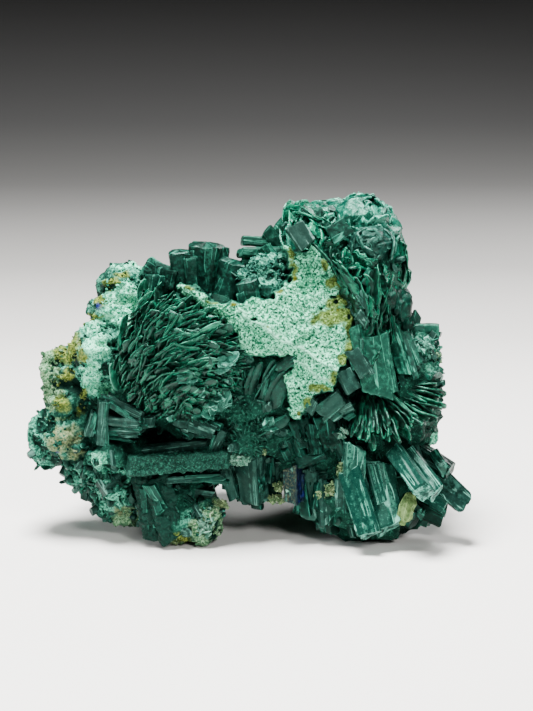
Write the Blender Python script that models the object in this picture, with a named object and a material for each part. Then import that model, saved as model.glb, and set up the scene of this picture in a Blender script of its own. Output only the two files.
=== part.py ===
"""Malachite after azurite: one cluster of crystals and crust, grown together and standing on its own feet.

The origin is at the middle of the bottom of its box, +X runs along the longest side, the side that is shown
faces -Y, and +Z is up. All sizes in the lists below are in millimetres and are turned into metres where a
mesh is made.
"""

import math
import random

import bmesh
import bpy
from mathutils import Matrix, Vector, geometry, noise

MM = 0.001

# Overall size of the specimen.
WIDTH = 73.0
DEPTH = 41.0
HEIGHT = 56.8

# Places are given as they are seen from in front and a little above: across, up, and depth into the specimen.
VIEW_TILT = math.radians(12)
LEVEL = 1.33

# How rough the lumps are, and how much smaller a prism is at its tip than at its foot.
LUMP_ROUGHNESS = 0.27
LARGE_LUMP = 10.8
PRISM_TAPER = 0.90
CHAMFER = 0.16
CHAMFERED_FROM = 3.3

# The pale plate's face at its ridge, and how far the plate reaches back.
PLATE_FACE = -15.5
PLATE_THICK = 7.0

STONE_COLOUR = (0.035, 0.16, 0.10, 1.0)
STONE_ROUGHNESS = 0.6


def clear_scene():
    for item in list(bpy.data.objects):
        bpy.data.objects.remove(item, do_unlink=True)


def new_collection(name, hidden=False):
    collection = bpy.data.collections.new(name)
    collection.hide_render = hidden
    bpy.context.scene.collection.children.link(collection)
    return collection


def seen(across, up, depth):
    """The point that is seen at across and up, and lies at that depth."""
    rise = (up - LEVEL - depth * math.sin(VIEW_TILT)) / math.cos(VIEW_TILT)
    return Vector((across, depth, rise))


def crystal_frame(foot, tip, roll, facing=None):
    """Axes of a crystal: X along its width, Y along its length, Z through its thickness, towards facing."""
    along = (tip - foot).normalized()
    facing = facing or Vector((0, -1, 0.2))
    if abs(along.dot(facing.normalized())) > 0.95:
        facing = Vector((0, 0, 1))
    through = (facing - along * facing.dot(along)).normalized()
    through = Matrix.Rotation(math.radians(roll), 3, along) @ through
    broad = along.cross(through)
    frame = Matrix((broad, along, through)).transposed().to_4x4()
    frame.translation = (foot + tip) / 2
    return frame


def put(shape, name, collection):
    bmesh.ops.recalc_face_normals(shape, faces=shape.faces)
    mesh = bpy.data.meshes.new(name)
    shape.to_mesh(mesh)
    shape.free()
    mesh.transform(Matrix.Scale(MM, 4))
    item = bpy.data.objects.new(name, mesh)
    item.hide_render = True
    item.display_type = "WIRE"
    collection.objects.link(item)
    return item


def prism(collection, foot, tip, width, thick, roll=0.0, facing=None, slant=0.2):
    """A long crystal, a little narrower at its slanted tip, with its long edges chamfered on a thick one."""
    length = (tip - foot).length
    shape = bmesh.new()
    bmesh.ops.create_cube(shape, size=1.0)
    bmesh.ops.scale(shape, verts=shape.verts, vec=(width, length, thick))
    if min(width, thick) > CHAMFERED_FROM:
        long_edges = [e for e in shape.edges if abs(e.verts[0].co.y - e.verts[1].co.y) > length / 2]
        bmesh.ops.bevel(shape, geom=long_edges, offset=CHAMFER * min(width, thick), segments=1, affect="EDGES")
    for corner in shape.verts:
        if corner.co.y > 0:
            corner.co.x *= PRISM_TAPER
            corner.co.z *= PRISM_TAPER
            corner.co.y += slant * corner.co.x
    shape.transform(crystal_frame(foot, tip, roll, facing))
    return put(shape, "prism", collection)


def blade(collection, foot, tip, width, thick, roll=0.0, facing=None):
    """A thin crystal with a pointed oval outline, narrower on the side that faces the viewer."""
    length = (tip - foot).length
    shape = bmesh.new()
    bmesh.ops.create_cone(shape, cap_ends=True, segments=6, radius1=0.5, radius2=0.36, depth=1.0)
    bmesh.ops.rotate(shape, verts=shape.verts, matrix=Matrix.Rotation(math.radians(90), 3, "Z"))
    bmesh.ops.scale(shape, verts=shape.verts, vec=(width, length, thick))
    shape.transform(crystal_frame(foot, tip, roll, facing))
    return put(shape, "blade", collection)


def lump(collection, centre, radii, seed, roughness=LUMP_ROUGHNESS, fineness=2):
    """A rounded mass, pushed in and out by noise."""
    shape = bmesh.new()
    bmesh.ops.create_icosphere(shape, subdivisions=fineness, radius=1.0)
    shift = Vector((seed * 7.3, seed * 3.1, seed * 5.7))
    for corner in shape.verts:
        swell = noise.noise(corner.co * 1.6 + shift) + 0.6 * noise.noise(corner.co * 4.3 + shift)
        ledge = abs(noise.noise(corner.co * 2.6 - shift))
        corner.co *= 1 + roughness * (swell - ledge + 0.25)
    bmesh.ops.scale(shape, verts=shape.verts, vec=radii)
    bmesh.ops.translate(shape, verts=shape.verts, vec=centre)
    return put(shape, "lump", collection)


def add_prisms(collection, rows):
    """Each row is foot across and up, tip across and up, depth of foot and tip, width, thickness and roll."""
    for x0, up0, x1, up1, deep0, deep1, width, thick, roll in rows:
        prism(collection, seen(x0, up0, deep0), seen(x1, up1, deep1), width, thick, roll)


def add_blades(collection, rows):
    """Rows as for the prisms."""
    for x0, up0, x1, up1, deep0, deep1, width, thick, roll in rows:
        blade(collection, seen(x0, up0, deep0), seen(x1, up1, deep1), width, thick, roll)


def add_lumps(collection, rows):
    """Each row is across, up and depth of the middle, then the radii across, in depth and in height."""
    for seed, (across, up, depth, wide, deep, high) in enumerate(rows):
        fineness = 3 if wide > LARGE_LUMP else 2
        lump(collection, seen(across, up, depth), (wide, deep, high), seed + 1, fineness=fineness)


def masses(collection):
    """The crust and matrix that carry the crystals: body, shoulders, dome, knob, feet and back."""
    add_lumps(collection, [
        (-18.6, 30.0, 0.5, 8.4, 12.0, 13.4),
        (-30.4, 16.8, -3.5, 6.4, 6.6, 4.8),
        (-21.4, 10.4, -3.0, 6.2, 7.5, 5.6),
        (-20.5, 4.4, -4.0, 2.6, 3.0, 2.8),
        (-11.8, 4.8, -5.5, 5.4, 7.5, 6.8),
        (20.5, 7.7, -4.0, 10.4, 8.5, 8.4),
        (23.5, 23.5, 0.0, 8.2, 12.0, 12.0),
        (19.4, 45.4, 0.5, 6.6, 9.4, 11.4),
        (11.2, 46.2, 0.0, 6.0, 8.6, 8.8),
        (-10.0, 37.0, 2.0, 11.0, 9.5, 6.6),
        (1.0, 27.5, 7.0, 25.4, 13.8, 17.5),
        (-12.5, 9.6, 9.5, 6.8, 7.4, 10.0),
        (15.8, 9.8, 10.5, 8.0, 7.4, 10.0),
        (9.0, 18.0, -4.0, 9.0, 7.0, 7.0),
        (-30.4, 27.0, -3.0, 3.2, 5.0, 4.2),
        (-30.8, 23.4, -3.0, 3.0, 5.2, 3.2),
        (-22.8, 37.0, -3.5, 3.0, 5.0, 4.6),
        (-20.5, 41.8, -1.5, 4.6, 6.0, 3.4),
        (-24.8, 30.6, -8.5, 4.2, 4.0, 5.0),
        (-25.4, 26.4, 0.0, 5.6, 9.0, 6.0),
        (-24.6, 20.4, -1.0, 5.0, 7.5, 5.4),
    ])
    lump(collection, seen(0.0, 27.0, 0.0), (21.0, 12.5, 12.5), 30, fineness=3)
    lump(collection, seen(2.8, 43.3, -4.5), (4.2, 4.2, 3.4), 31)
    lump(collection, seen(-6.8, 2.6, -10.5), (2.7, 3.0, 3.8), 32)
    lump(collection, seen(-22.3, 14.5, -9.0), (3.8, 3.4, 2.8), 33)
    lump(collection, seen(28.4, 30.8, -5.0), (2.4, 3.0, 2.6), 34)
    lump(collection, seen(28.6, 26.6, -6.0), (3.5, 4.0, 2.5), 35)


def plate_depth(across, up):
    """How deep the pale plate's face lies: nearest at its ridge, leaning back above it and to the left."""
    ridge_x, ridge_up, fall, run = -2.0, 37.6, 9.0, 15.0
    above = ((across - ridge_x) * fall + (up - ridge_up) * run) / math.hypot(fall, run)
    lean = 0.45 * max(above, 0) + 0.15 * max(-above, 0)
    return PLATE_FACE + lean + 0.35 * max(ridge_x - across, 0)


def crust_plate(collection):
    """The pale plate in the middle: a broken contact face, folded along a ridge, with its back in the body."""
    outline = [
        (-12.1, 41.6), (-9.8, 41.6), (-7.8, 40.4), (-5.2, 38.7), (-2.6, 38.5), (0.0, 38.9), (3.4, 39.4),
        (5.6, 41.2), (7.2, 43.4), (6.5, 45.2), (6.0, 48.0), (8.2, 46.9), (10.2, 48.6), (11.6, 47.6),
        (13.2, 45.0), (16.2, 41.2), (17.7, 39.8), (17.3, 36.6), (17.0, 33.2), (16.8, 31.2), (15.4, 29.0),
        (14.1, 27.4), (13.6, 25.2), (11.0, 23.8), (9.0, 21.4), (7.0, 19.6), (6.4, 22.4), (6.2, 25.6),
        (7.4, 29.8), (4.2, 30.2), (0.2, 30.0), (-1.8, 31.8), (-2.8, 35.2), (-5.0, 37.6), (-8.4, 39.6),
    ]
    ridge = [(1.8, 36.0), (6.2, 33.4), (10.4, 30.8), (9.0, 38.0), (9.4, 43.5)]
    places = [Vector(place) for place in outline + ridge]
    first = len(outline)
    creases = [(first, first + 1), (first + 1, first + 2)]
    rim = [list(range(first))]
    flat, _, faces, *_ = geometry.delaunay_2d_cdt(places, creases, rim, 1, 1e-4)
    shape = bmesh.new()
    corners = [shape.verts.new(seen(x, up, plate_depth(x, up))) for x, up in flat]
    for face in faces:
        shape.faces.new([corners[index] for index in face])
    grown = bmesh.ops.extrude_face_region(shape, geom=shape.faces[:], use_keep_orig=True)
    back = [part for part in grown["geom"] if isinstance(part, bmesh.types.BMVert)]
    bmesh.ops.translate(shape, verts=back, vec=(0, PLATE_THICK, 0))
    put(shape, "plate", collection)


def dark_rosette(collection):
    """Thin overlapping blades, seen mostly edge on, that fan out from the lower left over a bulge."""
    draw = random.Random(4)
    for row in range(6):
        for step in range(6):
            across = -20.0 + 3.6 * step + 1.8 * (row % 2) + draw.uniform(-0.4, 0.4)
            up = 22.5 + 3.2 * row + draw.uniform(-0.4, 0.4)
            inside = 1 - ((across + 10.5) / 11.5) ** 2 - ((up - 30.5) / 10.5) ** 2
            if inside < 0:
                continue
            turn = math.atan2(up - 20.0, across + 23.0) - math.radians(10)
            depth = -11.0 - 6.0 * math.sqrt(inside)
            reach_x, reach_up = 3.3 * math.cos(turn), 3.3 * math.sin(turn)
            foot = seen(across - reach_x, up - reach_up, depth + 1.6)
            tip = seen(across + reach_x, up + reach_up, depth - 0.4)
            blade(collection, foot, tip, draw.uniform(4.2, 5.2), 1.6, draw.uniform(50, 75))
    lump(collection, seen(-10.0, 30.5, -8.5), (10.5, 7.0, 9.0), 40)
    lump(collection, seen(-0.6, 18.5, -9.0), (4.0, 4.0, 4.4), 41)


def top_blocks(collection):
    """Rounded blocks that stand on the left shoulder, and the stepped tablets between them and the dome."""
    add_prisms(collection, [
        (-10.4, 40.5, -10.3, 48.1, -1.5, -1.0, 4.6, 4.4, 12),
        (-7.1, 40.5, -6.7, 48.9, -0.5, 0.0, 5.6, 5.0, -8),
        (-5.0, 38.0, -1.6, 46.2, 2.5, 3.0, 5.4, 4.0, 0),
        (-12.0, 42.0, -17.0, 45.2, -1.5, -1.0, 3.2, 3.2, 0),
        (-14.0, 41.0, -13.5, 44.6, -4.0, -3.5, 3.0, 3.0, 20),
        (5.5, 49.0, -1.0, 49.2, 0.5, 0.0, 1.7, 4.4, 0),
        (5.5, 47.6, -1.3, 47.7, -0.5, -1.0, 1.5, 4.6, 0),
        (4.5, 45.8, -0.7, 46.3, -0.5, -1.0, 1.5, 4.4, 0),
        (6.0, 50.6, 1.8, 50.4, 1.0, 0.8, 1.6, 4.4, 0),
        (7.0, 52.2, 3.6, 51.8, 1.5, 1.2, 1.5, 4.0, 0),
        (0.6, 38.8, -0.2, 42.2, -9.0, -9.2, 3.0, 1.8, 10),
        (8.2, 46.6, 8.2, 51.7, -9.0, -8.4, 3.7, 2.2, 8),
    ])


def scales(collection, centre, radii, count, size, lean, seed, keep):
    """Thin plates over an oval mass, at even steps of a spiral, each leaning out from its surface."""
    draw = random.Random(seed)
    golden = math.pi * (3 - math.sqrt(5))
    for index in range(count):
        height = 1 - 2 * (index + 0.5) / count
        ring = math.sqrt(1 - height * height)
        out = Vector((ring * math.cos(golden * index), ring * math.sin(golden * index), height))
        if not keep(out):
            continue
        place = centre + Vector((out.x * radii[0], out.y * radii[1], out.z * radii[2]))
        up_slope = (Vector((0, 0, 1)) - out * out.z + out.orthogonal() * 0.05).normalized()
        along = (Matrix.Rotation(draw.uniform(-1.1, 1.1), 3, out) @ up_slope).normalized()
        facing = (Matrix.Rotation(draw.uniform(-lean, lean), 3, along) @ out).normalized()
        long = size * draw.uniform(0.85, 1.15)
        foot, tip = place - along * long * 0.5 - out * 0.5, place + along * long * 0.5 + out * 0.7
        blade(collection, foot, tip, long * draw.uniform(0.75, 0.95), 1.3, 0.0, facing)


def dome(collection):
    """The rosette on the top right: curved plates, close together like the leaves of a cabbage."""
    scales(collection, seen(11.2, 46.6, 0.0), (6.2, 9.2, 9.0), 16, 7.2, 0.5, 5, lambda out: out.z > -0.4)
    scales(collection, seen(19.4, 45.6, 0.5), (6.8, 9.8, 11.6), 21, 7.4, 0.5, 6, lambda out: out.z > -0.7)
    add_blades(collection, [
        (10.6, 48.6, 17.4, 40.2, -10.5, -12.0, 2.0, 1.2, 80),
        (24.6, 50.5, 24.8, 43.0, -3.0, -3.5, 3.2, 1.6, 60),
        (12.0, 49.8, 16.6, 51.6, -9.0, -8.6, 3.6, 1.4, 0),
    ])


def right_side(collection):
    """Below the dome: upright lamellae, a smooth dark lobe, dark tablets and blocks on the right edge."""
    add_prisms(collection, [
        (24.0, 34.6, 24.3, 43.2, -5.5, -5.0, 4.4, 4.4, 12),
        (19.4, 35.0, 20.4, 24.6, -11.5, -13.5, 4.2, 3.6, 14),
        (21.6, 35.2, 23.4, 24.5, -10.0, -13.5, 3.0, 3.4, -16),
        (23.0, 35.0, 25.6, 26.4, -8.5, -11.5, 2.8, 3.2, 18),
        (25.0, 34.6, 27.6, 27.8, -7.0, -9.5, 2.6, 3.0, -10),
        (25.6, 33.6, 31.0, 33.8, -2.5, -3.0, 3.0, 4.2, 0),
        (18.4, 39.6, 18.6, 34.6, -11.5, -12.0, 2.4, 2.2, 25),
        (16.8, 31.2, 19.2, 27.0, -13.5, -14.5, 2.7, 1.8, 12),
        (15.2, 28.2, 17.0, 24.6, -13.5, -14.0, 2.8, 1.8, -12),
        (12.0, 21.0, 15.2, 23.8, -12.0, -12.6, 3.0, 2.0, 8),
        (26.0, 31.4, 30.2, 30.0, -6.5, -8.0, 3.4, 3.2, 16),
        (26.4, 27.4, 31.4, 26.2, -6.5, -8.0, 2.8, 3.2, -14),
    ])
    add_blades(collection, [
        (18.6, 43.6, 18.9, 34.0, -11.0, -11.5, 3.0, 1.2, 70),
        (20.2, 44.4, 20.4, 33.6, -9.6, -11.0, 3.4, 1.2, 60),
        (21.8, 43.6, 21.8, 33.8, -8.2, -10.0, 3.2, 1.3, 66),
    ])


def right_fan(collection):
    """Blades that spread from one point under the dark tablets, from straight down to straight right."""
    heart_x, heart_up = 19.5, 25.4
    spread = [
        (-96, 8.6, -14.0), (-88, 10.6, -15.5), (-82, 11.4, -16.5), (-75, 10.4, -16.8), (-68, 10.6, -16.5),
        (-60, 10.4, -16.0), (-52, 10.8, -15.2), (-44, 11.8, -14.2), (-36, 12.6, -13.2), (-27, 13.0, -12.0),
        (-18, 12.8, -10.6), (-8, 12.6, -9.0),
    ]
    for degrees, long, depth in spread:
        turn = math.radians(degrees)
        tip = seen(heart_x + long * math.cos(turn), heart_up + long * math.sin(turn), depth)
        blade(collection, seen(heart_x, heart_up, -7.5), tip, 3.6, 1.3, 62)


def lower_right_prisms(collection):
    """The long glassy prisms of the right foot, the block above them and the dark pieces behind."""
    add_prisms(collection, [
        (17.0, 9.5, 17.2, 15.6, -12.5, -13.0, 3.7, 3.4, 10),
        (16.5, 12.0, 19.8, 1.2, -12.5, -16.5, 4.0, 3.6, 12),
        (21.2, 12.6, 23.2, 2.2, -10.5, -14.5, 4.8, 4.0, -8),
        (24.0, 14.4, 28.3, 8.2, -13.0, -20.2, 2.9, 3.0, 10),
        (25.8, 14.2, 30.6, 8.0, -10.5, -16.5, 3.2, 3.2, -12),
        (26.6, 15.4, 33.0, 11.2, -6.0, -11.0, 3.0, 3.2, 12),
        (27.6, 13.4, 35.6, 5.8, -6.0, -11.0, 4.1, 4.2, -6),
        (27.5, 9.0, 32.6, 5.6, -7.5, -10.0, 2.8, 3.4, 14),
        (25.5, 7.0, 32.0, 3.6, -5.0, -7.0, 4.4, 4.6, 8),
        (22.4, 5.6, 24.4, -1.2, -8.0, -8.5, 4.6, 4.2, 14),
        (26.0, 7.6, 26.1, 3.4, -12.5, -13.0, 2.4, 2.2, 20),
    ])


def lower_middle(collection):
    """Under the plate and in the arch: hanging prisms, green blocks and the last blue crystal of azurite."""
    add_prisms(collection, [
        (7.5, 12.6, 7.6, 6.2, -10.5, -11.5, 2.9, 2.6, 28),
        (10.2, 12.0, 10.2, 3.4, -8.0, -9.0, 3.2, 3.4, 12),
        (13.4, 9.0, 13.6, 2.4, -9.0, -10.5, 4.6, 4.2, -14),
        (16.2, 9.8, 16.4, 3.2, -9.0, -10.5, 3.0, 3.4, 18),
        (15.2, 10.4, 15.3, 5.4, -11.8, -12.6, 1.8, 1.8, 16),
        (12.6, 14.2, 8.0, 12.6, -9.5, -10.5, 2.4, 3.0, 8),
        (8.0, 19.6, 9.8, 15.0, -9.5, -10.5, 3.4, 2.6, -14),
        (12.6, 19.8, 14.0, 15.4, -10.0, -11.0, 3.6, 2.8, 14),
        (0.4, 14.4, 1.0, 6.4, -8.5, -9.5, 4.4, 4.2, 36),
        (0.4, 9.0, 0.6, 5.6, -7.0, -7.5, 3.2, 3.0, 10),
        (-4.0, 12.6, -2.2, 6.6, -8.0, -9.0, 1.9, 2.2, 12),
        (-2.2, 12.4, -0.9, 6.4, -7.0, -8.0, 1.8, 2.2, -16),
        (4.2, 12.0, 3.8, 7.0, -6.0, -6.5, 3.0, 3.0, 20),
        (3.6, 21.2, 6.2, 28.4, -12.5, -13.6, 3.4, 1.6, 10),
        (4.4, 27.9, 7.7, 30.0, -14.0, -14.6, 2.0, 1.6, 0),
        (1.4, 22.0, 4.0, 29.8, -11.5, -13.6, 1.8, 2.2, 50),
        (0.0, 22.0, 2.0, 29.4, -11.5, -13.6, 1.6, 2.0, 30),
        (2.4, 17.6, 6.6, 20.4, -12.0, -12.4, 2.0, 2.4, 0),
    ])


def lower_left_prisms(collection):
    """The big level prism over the left foot, the small ones around the cavity, and the two slabs."""
    add_prisms(collection, [
        (-19.4, 12.3, -3.0, 13.5, -13.0, -13.0, 3.1, 3.6, 6),
        (-13.5, 9.9, -3.8, 10.4, -11.5, -11.5, 1.2, 3.2, 0),
        (-17.0, 14.5, -6.8, 15.9, -10.0, -10.0, 1.8, 3.0, 10),
        (-6.2, 13.6, -4.0, 18.2, -11.5, -12.0, 1.5, 1.8, 10),
        (-11.6, 20.2, -5.6, 17.8, -10.5, -12.5, 2.6, 2.2, 6),
        (-24.0, 16.2, -23.4, 23.0, -11.0, -12.0, 1.9, 2.0, 14),
        (-22.8, 23.2, -17.2, 20.5, -11.5, -13.0, 1.7, 1.9, 0),
        (-23.0, 19.8, -17.4, 19.3, -11.0, -13.5, 1.6, 2.0, 10),
        (-19.0, 19.4, -15.3, 19.6, -10.5, -12.5, 1.8, 2.0, 16),
        (-24.2, 17.9, -17.2, 18.2, -10.0, -12.0, 1.2, 2.4, 0),
        (-17.2, 11.0, -15.4, 0.4, -10.5, -11.5, 3.4, 3.2, 10),
        (-15.0, 10.6, -12.6, 0.4, -11.0, -12.5, 4.2, 3.4, -8),
        (-13.4, 8.4, -5.6, 7.2, -8.5, -9.5, 1.8, 2.6, 6),
        (-12.6, 5.8, -6.4, 5.4, -8.5, -9.5, 3.0, 3.2, 0),
    ])


def back_crystals(collection):
    """Tablets and lumps that stand out all over the sides and the back, as they do on the front."""
    draw = random.Random(11)
    golden = math.pi * (3 - math.sqrt(5))
    count = 30
    for index in range(count):
        height = 1 - 2 * (index + 0.5) / count
        ring = math.sqrt(1 - height * height)
        out = Vector((ring * math.cos(golden * index), ring * math.sin(golden * index), height))
        if out.y < 0.12 or height < -0.75:
            continue
        place = Vector((1.0 + 25.5 * out.x, 6.5 + 13.0 * out.y, 26.5 + 16.5 * out.z))
        sway = Vector([draw.uniform(-0.7, 0.7) for _ in range(3)])
        along = (out + sway).normalized()
        long = draw.uniform(6.5, 10.5)
        wide = draw.uniform(3.4, 6.2)
        prism(collection, place - along * long * 0.6, place + along * long * 0.4, wide, wide * 0.6, draw.uniform(0, 90))


def largest_body(shape):
    """Deletes every face that isn't joined to the largest connected body, such as a pocket sealed inside."""
    waiting = set(shape.faces)
    bodies = []
    while waiting:
        front = [waiting.pop()]
        body = set(front)
        while front:
            face = front.pop()
            for edge in face.edges:
                for other in edge.link_faces:
                    if other in waiting:
                        waiting.remove(other)
                        body.add(other)
                        front.append(other)
        bodies.append(body)
    bodies.sort(key=lambda body: sum(face.calc_area() for face in body))
    spare = [face for body in bodies[:-1] for face in body]
    bmesh.ops.delete(shape, geom=spare, context="FACES")
    loose = [corner for corner in shape.verts if not corner.link_faces]
    bmesh.ops.delete(shape, geom=loose, context="VERTS")


def evaluated_copy(item):
    graph = bpy.context.evaluated_depsgraph_get()
    return bpy.data.meshes.new_from_object(item.evaluated_get(graph))


def join(collection, target, name, material):
    """One solid from all the crystals and lumps, trimmed to the specimen's box so that it rests flat."""
    parts = list(collection.objects)
    body = parts[0]
    rest = new_collection("joined_to_body", hidden=True)
    for item in parts[1:]:
        collection.objects.unlink(item)
        rest.objects.link(item)
    union = body.modifiers.new("grown together", "BOOLEAN")
    union.operation, union.solver = "UNION", "EXACT"
    union.operand_type, union.collection = "COLLECTION", rest
    bpy.context.view_layer.update()
    whole = bpy.data.objects.new(name, evaluated_copy(body))
    target.objects.link(whole)

    box_shape = bmesh.new()
    bmesh.ops.create_cube(box_shape, size=1.0)
    bmesh.ops.scale(box_shape, verts=box_shape.verts, vec=(WIDTH, DEPTH, HEIGHT))
    bmesh.ops.translate(box_shape, verts=box_shape.verts, vec=(0, 0, HEIGHT / 2))
    box = put(box_shape, "specimen_box", collection)
    trim = whole.modifiers.new("trimmed to size", "BOOLEAN")
    trim.operation, trim.solver, trim.object = "INTERSECT", "EXACT", box
    bpy.context.view_layer.update()
    trimmed = evaluated_copy(whole)
    whole.modifiers.clear()

    shape = bmesh.new()
    shape.from_mesh(trimmed)
    bmesh.ops.triangulate(shape, faces=shape.faces)
    largest_body(shape)
    bmesh.ops.triangulate(shape, faces=shape.faces)
    shape.to_mesh(trimmed)
    shape.free()
    whole.data = trimmed
    trimmed.materials.clear()
    trimmed.materials.append(material)
    return whole


def stone_material():
    material = bpy.data.materials.new("malachite")
    material.use_nodes = True
    shader = material.node_tree.nodes["Principled BSDF"]
    shader.inputs["Base Color"].default_value = STONE_COLOUR
    shader.inputs["Roughness"].default_value = STONE_ROUGHNESS
    shader.inputs["Metallic"].default_value = 0.0
    return material


clear_scene()
specimen = new_collection("malachite after azurite")
pieces = new_collection("crystals and lumps", hidden=True)
for grow in (masses, crust_plate, dark_rosette, top_blocks, dome, right_side, right_fan,
             lower_right_prisms, lower_middle, lower_left_prisms, back_crystals):
    grow(pieces)
join(pieces, specimen, "malachite_cluster", stone_material())
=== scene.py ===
import math
import random

import bmesh
import bpy
import numpy as np
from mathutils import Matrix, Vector


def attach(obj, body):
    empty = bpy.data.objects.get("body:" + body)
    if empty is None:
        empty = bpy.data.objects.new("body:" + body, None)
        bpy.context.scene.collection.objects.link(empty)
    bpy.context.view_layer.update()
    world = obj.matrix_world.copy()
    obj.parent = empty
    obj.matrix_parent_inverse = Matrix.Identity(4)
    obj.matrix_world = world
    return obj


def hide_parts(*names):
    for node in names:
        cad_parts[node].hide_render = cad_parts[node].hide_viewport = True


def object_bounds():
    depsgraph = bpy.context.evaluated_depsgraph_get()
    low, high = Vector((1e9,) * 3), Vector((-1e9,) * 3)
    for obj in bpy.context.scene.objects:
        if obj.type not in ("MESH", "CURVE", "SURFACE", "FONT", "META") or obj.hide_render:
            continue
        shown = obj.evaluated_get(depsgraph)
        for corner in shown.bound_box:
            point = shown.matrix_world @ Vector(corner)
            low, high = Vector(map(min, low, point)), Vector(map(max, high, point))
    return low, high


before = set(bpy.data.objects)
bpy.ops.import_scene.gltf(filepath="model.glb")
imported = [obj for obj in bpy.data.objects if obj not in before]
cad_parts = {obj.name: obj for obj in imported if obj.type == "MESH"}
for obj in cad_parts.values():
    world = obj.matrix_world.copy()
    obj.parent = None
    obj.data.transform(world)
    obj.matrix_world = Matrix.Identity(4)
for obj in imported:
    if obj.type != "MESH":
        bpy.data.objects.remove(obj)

cad_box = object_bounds()


# The view: a plain pale floor that turns up into a grey backdrop, painted darker towards the back as shade, a large
# soft light above and in front, a fill from the left and a weak one from behind. The camera looks from 12 degrees
# above, through a long lens.
MM = 0.001
VIEW_TILT = math.radians(12)
LEVEL = 1.33
PIXELS_TO_MM = 6.0
CAMERA_DISTANCE = 395 * MM
SENSOR, LENS = 36.0, 120.0
PICTURE_MIDDLE_ACROSS, PICTURE_MIDDLE_UP = 3.0, 30.25


def seen(across, up, depth):
    """Millimetres: the point that is seen at across and up, and lies at that depth.

    The height as seen is z times the cosine of the view's tilt plus depth times its sine, plus the level.
    """
    across, up, depth = np.broadcast_arrays(np.asarray(across, float), up, depth)
    rise = (up - LEVEL - depth * math.sin(VIEW_TILT)) / math.cos(VIEW_TILT)
    return np.stack([across, depth, rise], axis=-1)


def aimed(item, place, target):
    """Puts an object at place and turns its -Z to look at target."""
    item.location = Vector(place)
    item.rotation_euler = (Vector(target) - Vector(place)).to_track_quat("-Z", "Y").to_euler()
    bpy.context.scene.collection.objects.link(item)


middle = seen(PICTURE_MIDDLE_ACROSS, PICTURE_MIDDLE_UP, 0.0) * MM
back_off = np.array([0.0, -math.cos(VIEW_TILT), math.sin(VIEW_TILT)]) * CAMERA_DISTANCE
camera_data = bpy.data.cameras.new("camera")
camera_data.lens, camera_data.sensor_width = LENS, SENSOR
camera_data.clip_start, camera_data.clip_end = 0.01, 10.0
camera = bpy.data.objects.new("camera", camera_data)
aimed(camera, middle + back_off, middle)
bpy.context.scene.camera = camera

for name, place, size, power, colour in [
    ("light_above", (-0.05, -0.06, 0.42), 0.18, 11.4, (1.0, 0.99, 0.97)),
    ("light_front", (0.16, -0.42, 0.30), 0.12, 1.9, (1.0, 0.99, 0.97)),
    ("light_left", (-0.36, -0.12, 0.16), 0.16, 0.8, (0.96, 0.98, 1.0)),
    ("light_behind", (0.22, 0.30, 0.26), 0.20, 1.4, (1.0, 1.0, 1.0)),
]:
    light = bpy.data.lights.new(name, "AREA")
    light.shape, light.size, light.energy, light.color = "DISK", size, power, colour
    aimed(bpy.data.objects.new(name, light), place, (0, 0, 0.025))

world = bpy.data.worlds.new("room")
world.use_nodes = True
world.node_tree.nodes["Background"].inputs["Color"].default_value = (0.80, 0.82, 0.84, 1)
world.node_tree.nodes["Background"].inputs["Strength"].default_value = 0.05
bpy.context.scene.world = world


def faces_of_grid(rows, columns, closed=False):
    """Quads between neighbouring points of a grid, row by row; closed joins the last column to the first."""
    row, column = np.meshgrid(np.arange(rows - 1), np.arange(columns if closed else columns - 1), indexing="ij")
    after = (column + 1) % columns
    quads = [row * columns + column, row * columns + after, (row + 1) * columns + after, (row + 1) * columns + column]
    return np.stack(quads, axis=-1).reshape(-1, 4)


def put(name, points, quads, triangles=None, values=None, sharp=180):
    """A new object from points in millimetres, with a number for each point under each name in values.

    Faces that meet at more than sharp degrees keep a hard edge; all others are shaded as one smooth skin.
    """
    mesh = bpy.data.meshes.new(name)
    triangles = np.zeros((0, 3), int) if triangles is None else triangles
    corners = np.concatenate([quads.ravel(), triangles.ravel()])
    starts = np.concatenate([np.arange(len(quads)) * 4, quads.size + np.arange(len(triangles)) * 3])
    mesh.vertices.add(len(points))
    mesh.vertices.foreach_set("co", (points * MM).astype(np.float32).ravel())
    mesh.loops.add(len(corners))
    mesh.loops.foreach_set("vertex_index", corners.astype(np.int32))
    mesh.polygons.add(len(starts))
    mesh.polygons.foreach_set("loop_start", starts.astype(np.int32))
    mesh.polygons.foreach_set("use_smooth", np.full(len(starts), True))
    mesh.update(calc_edges=True)
    mesh.validate()
    mesh.set_sharp_from_angle(angle=math.radians(sharp))
    for key, numbers in (values or {}).items():
        mesh.attributes.new(key, "FLOAT", "POINT").data.foreach_set("value", np.asarray(numbers, np.float32).ravel())
    item = bpy.data.objects.new(name, mesh)
    bpy.context.scene.collection.objects.link(item)
    return item


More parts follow.
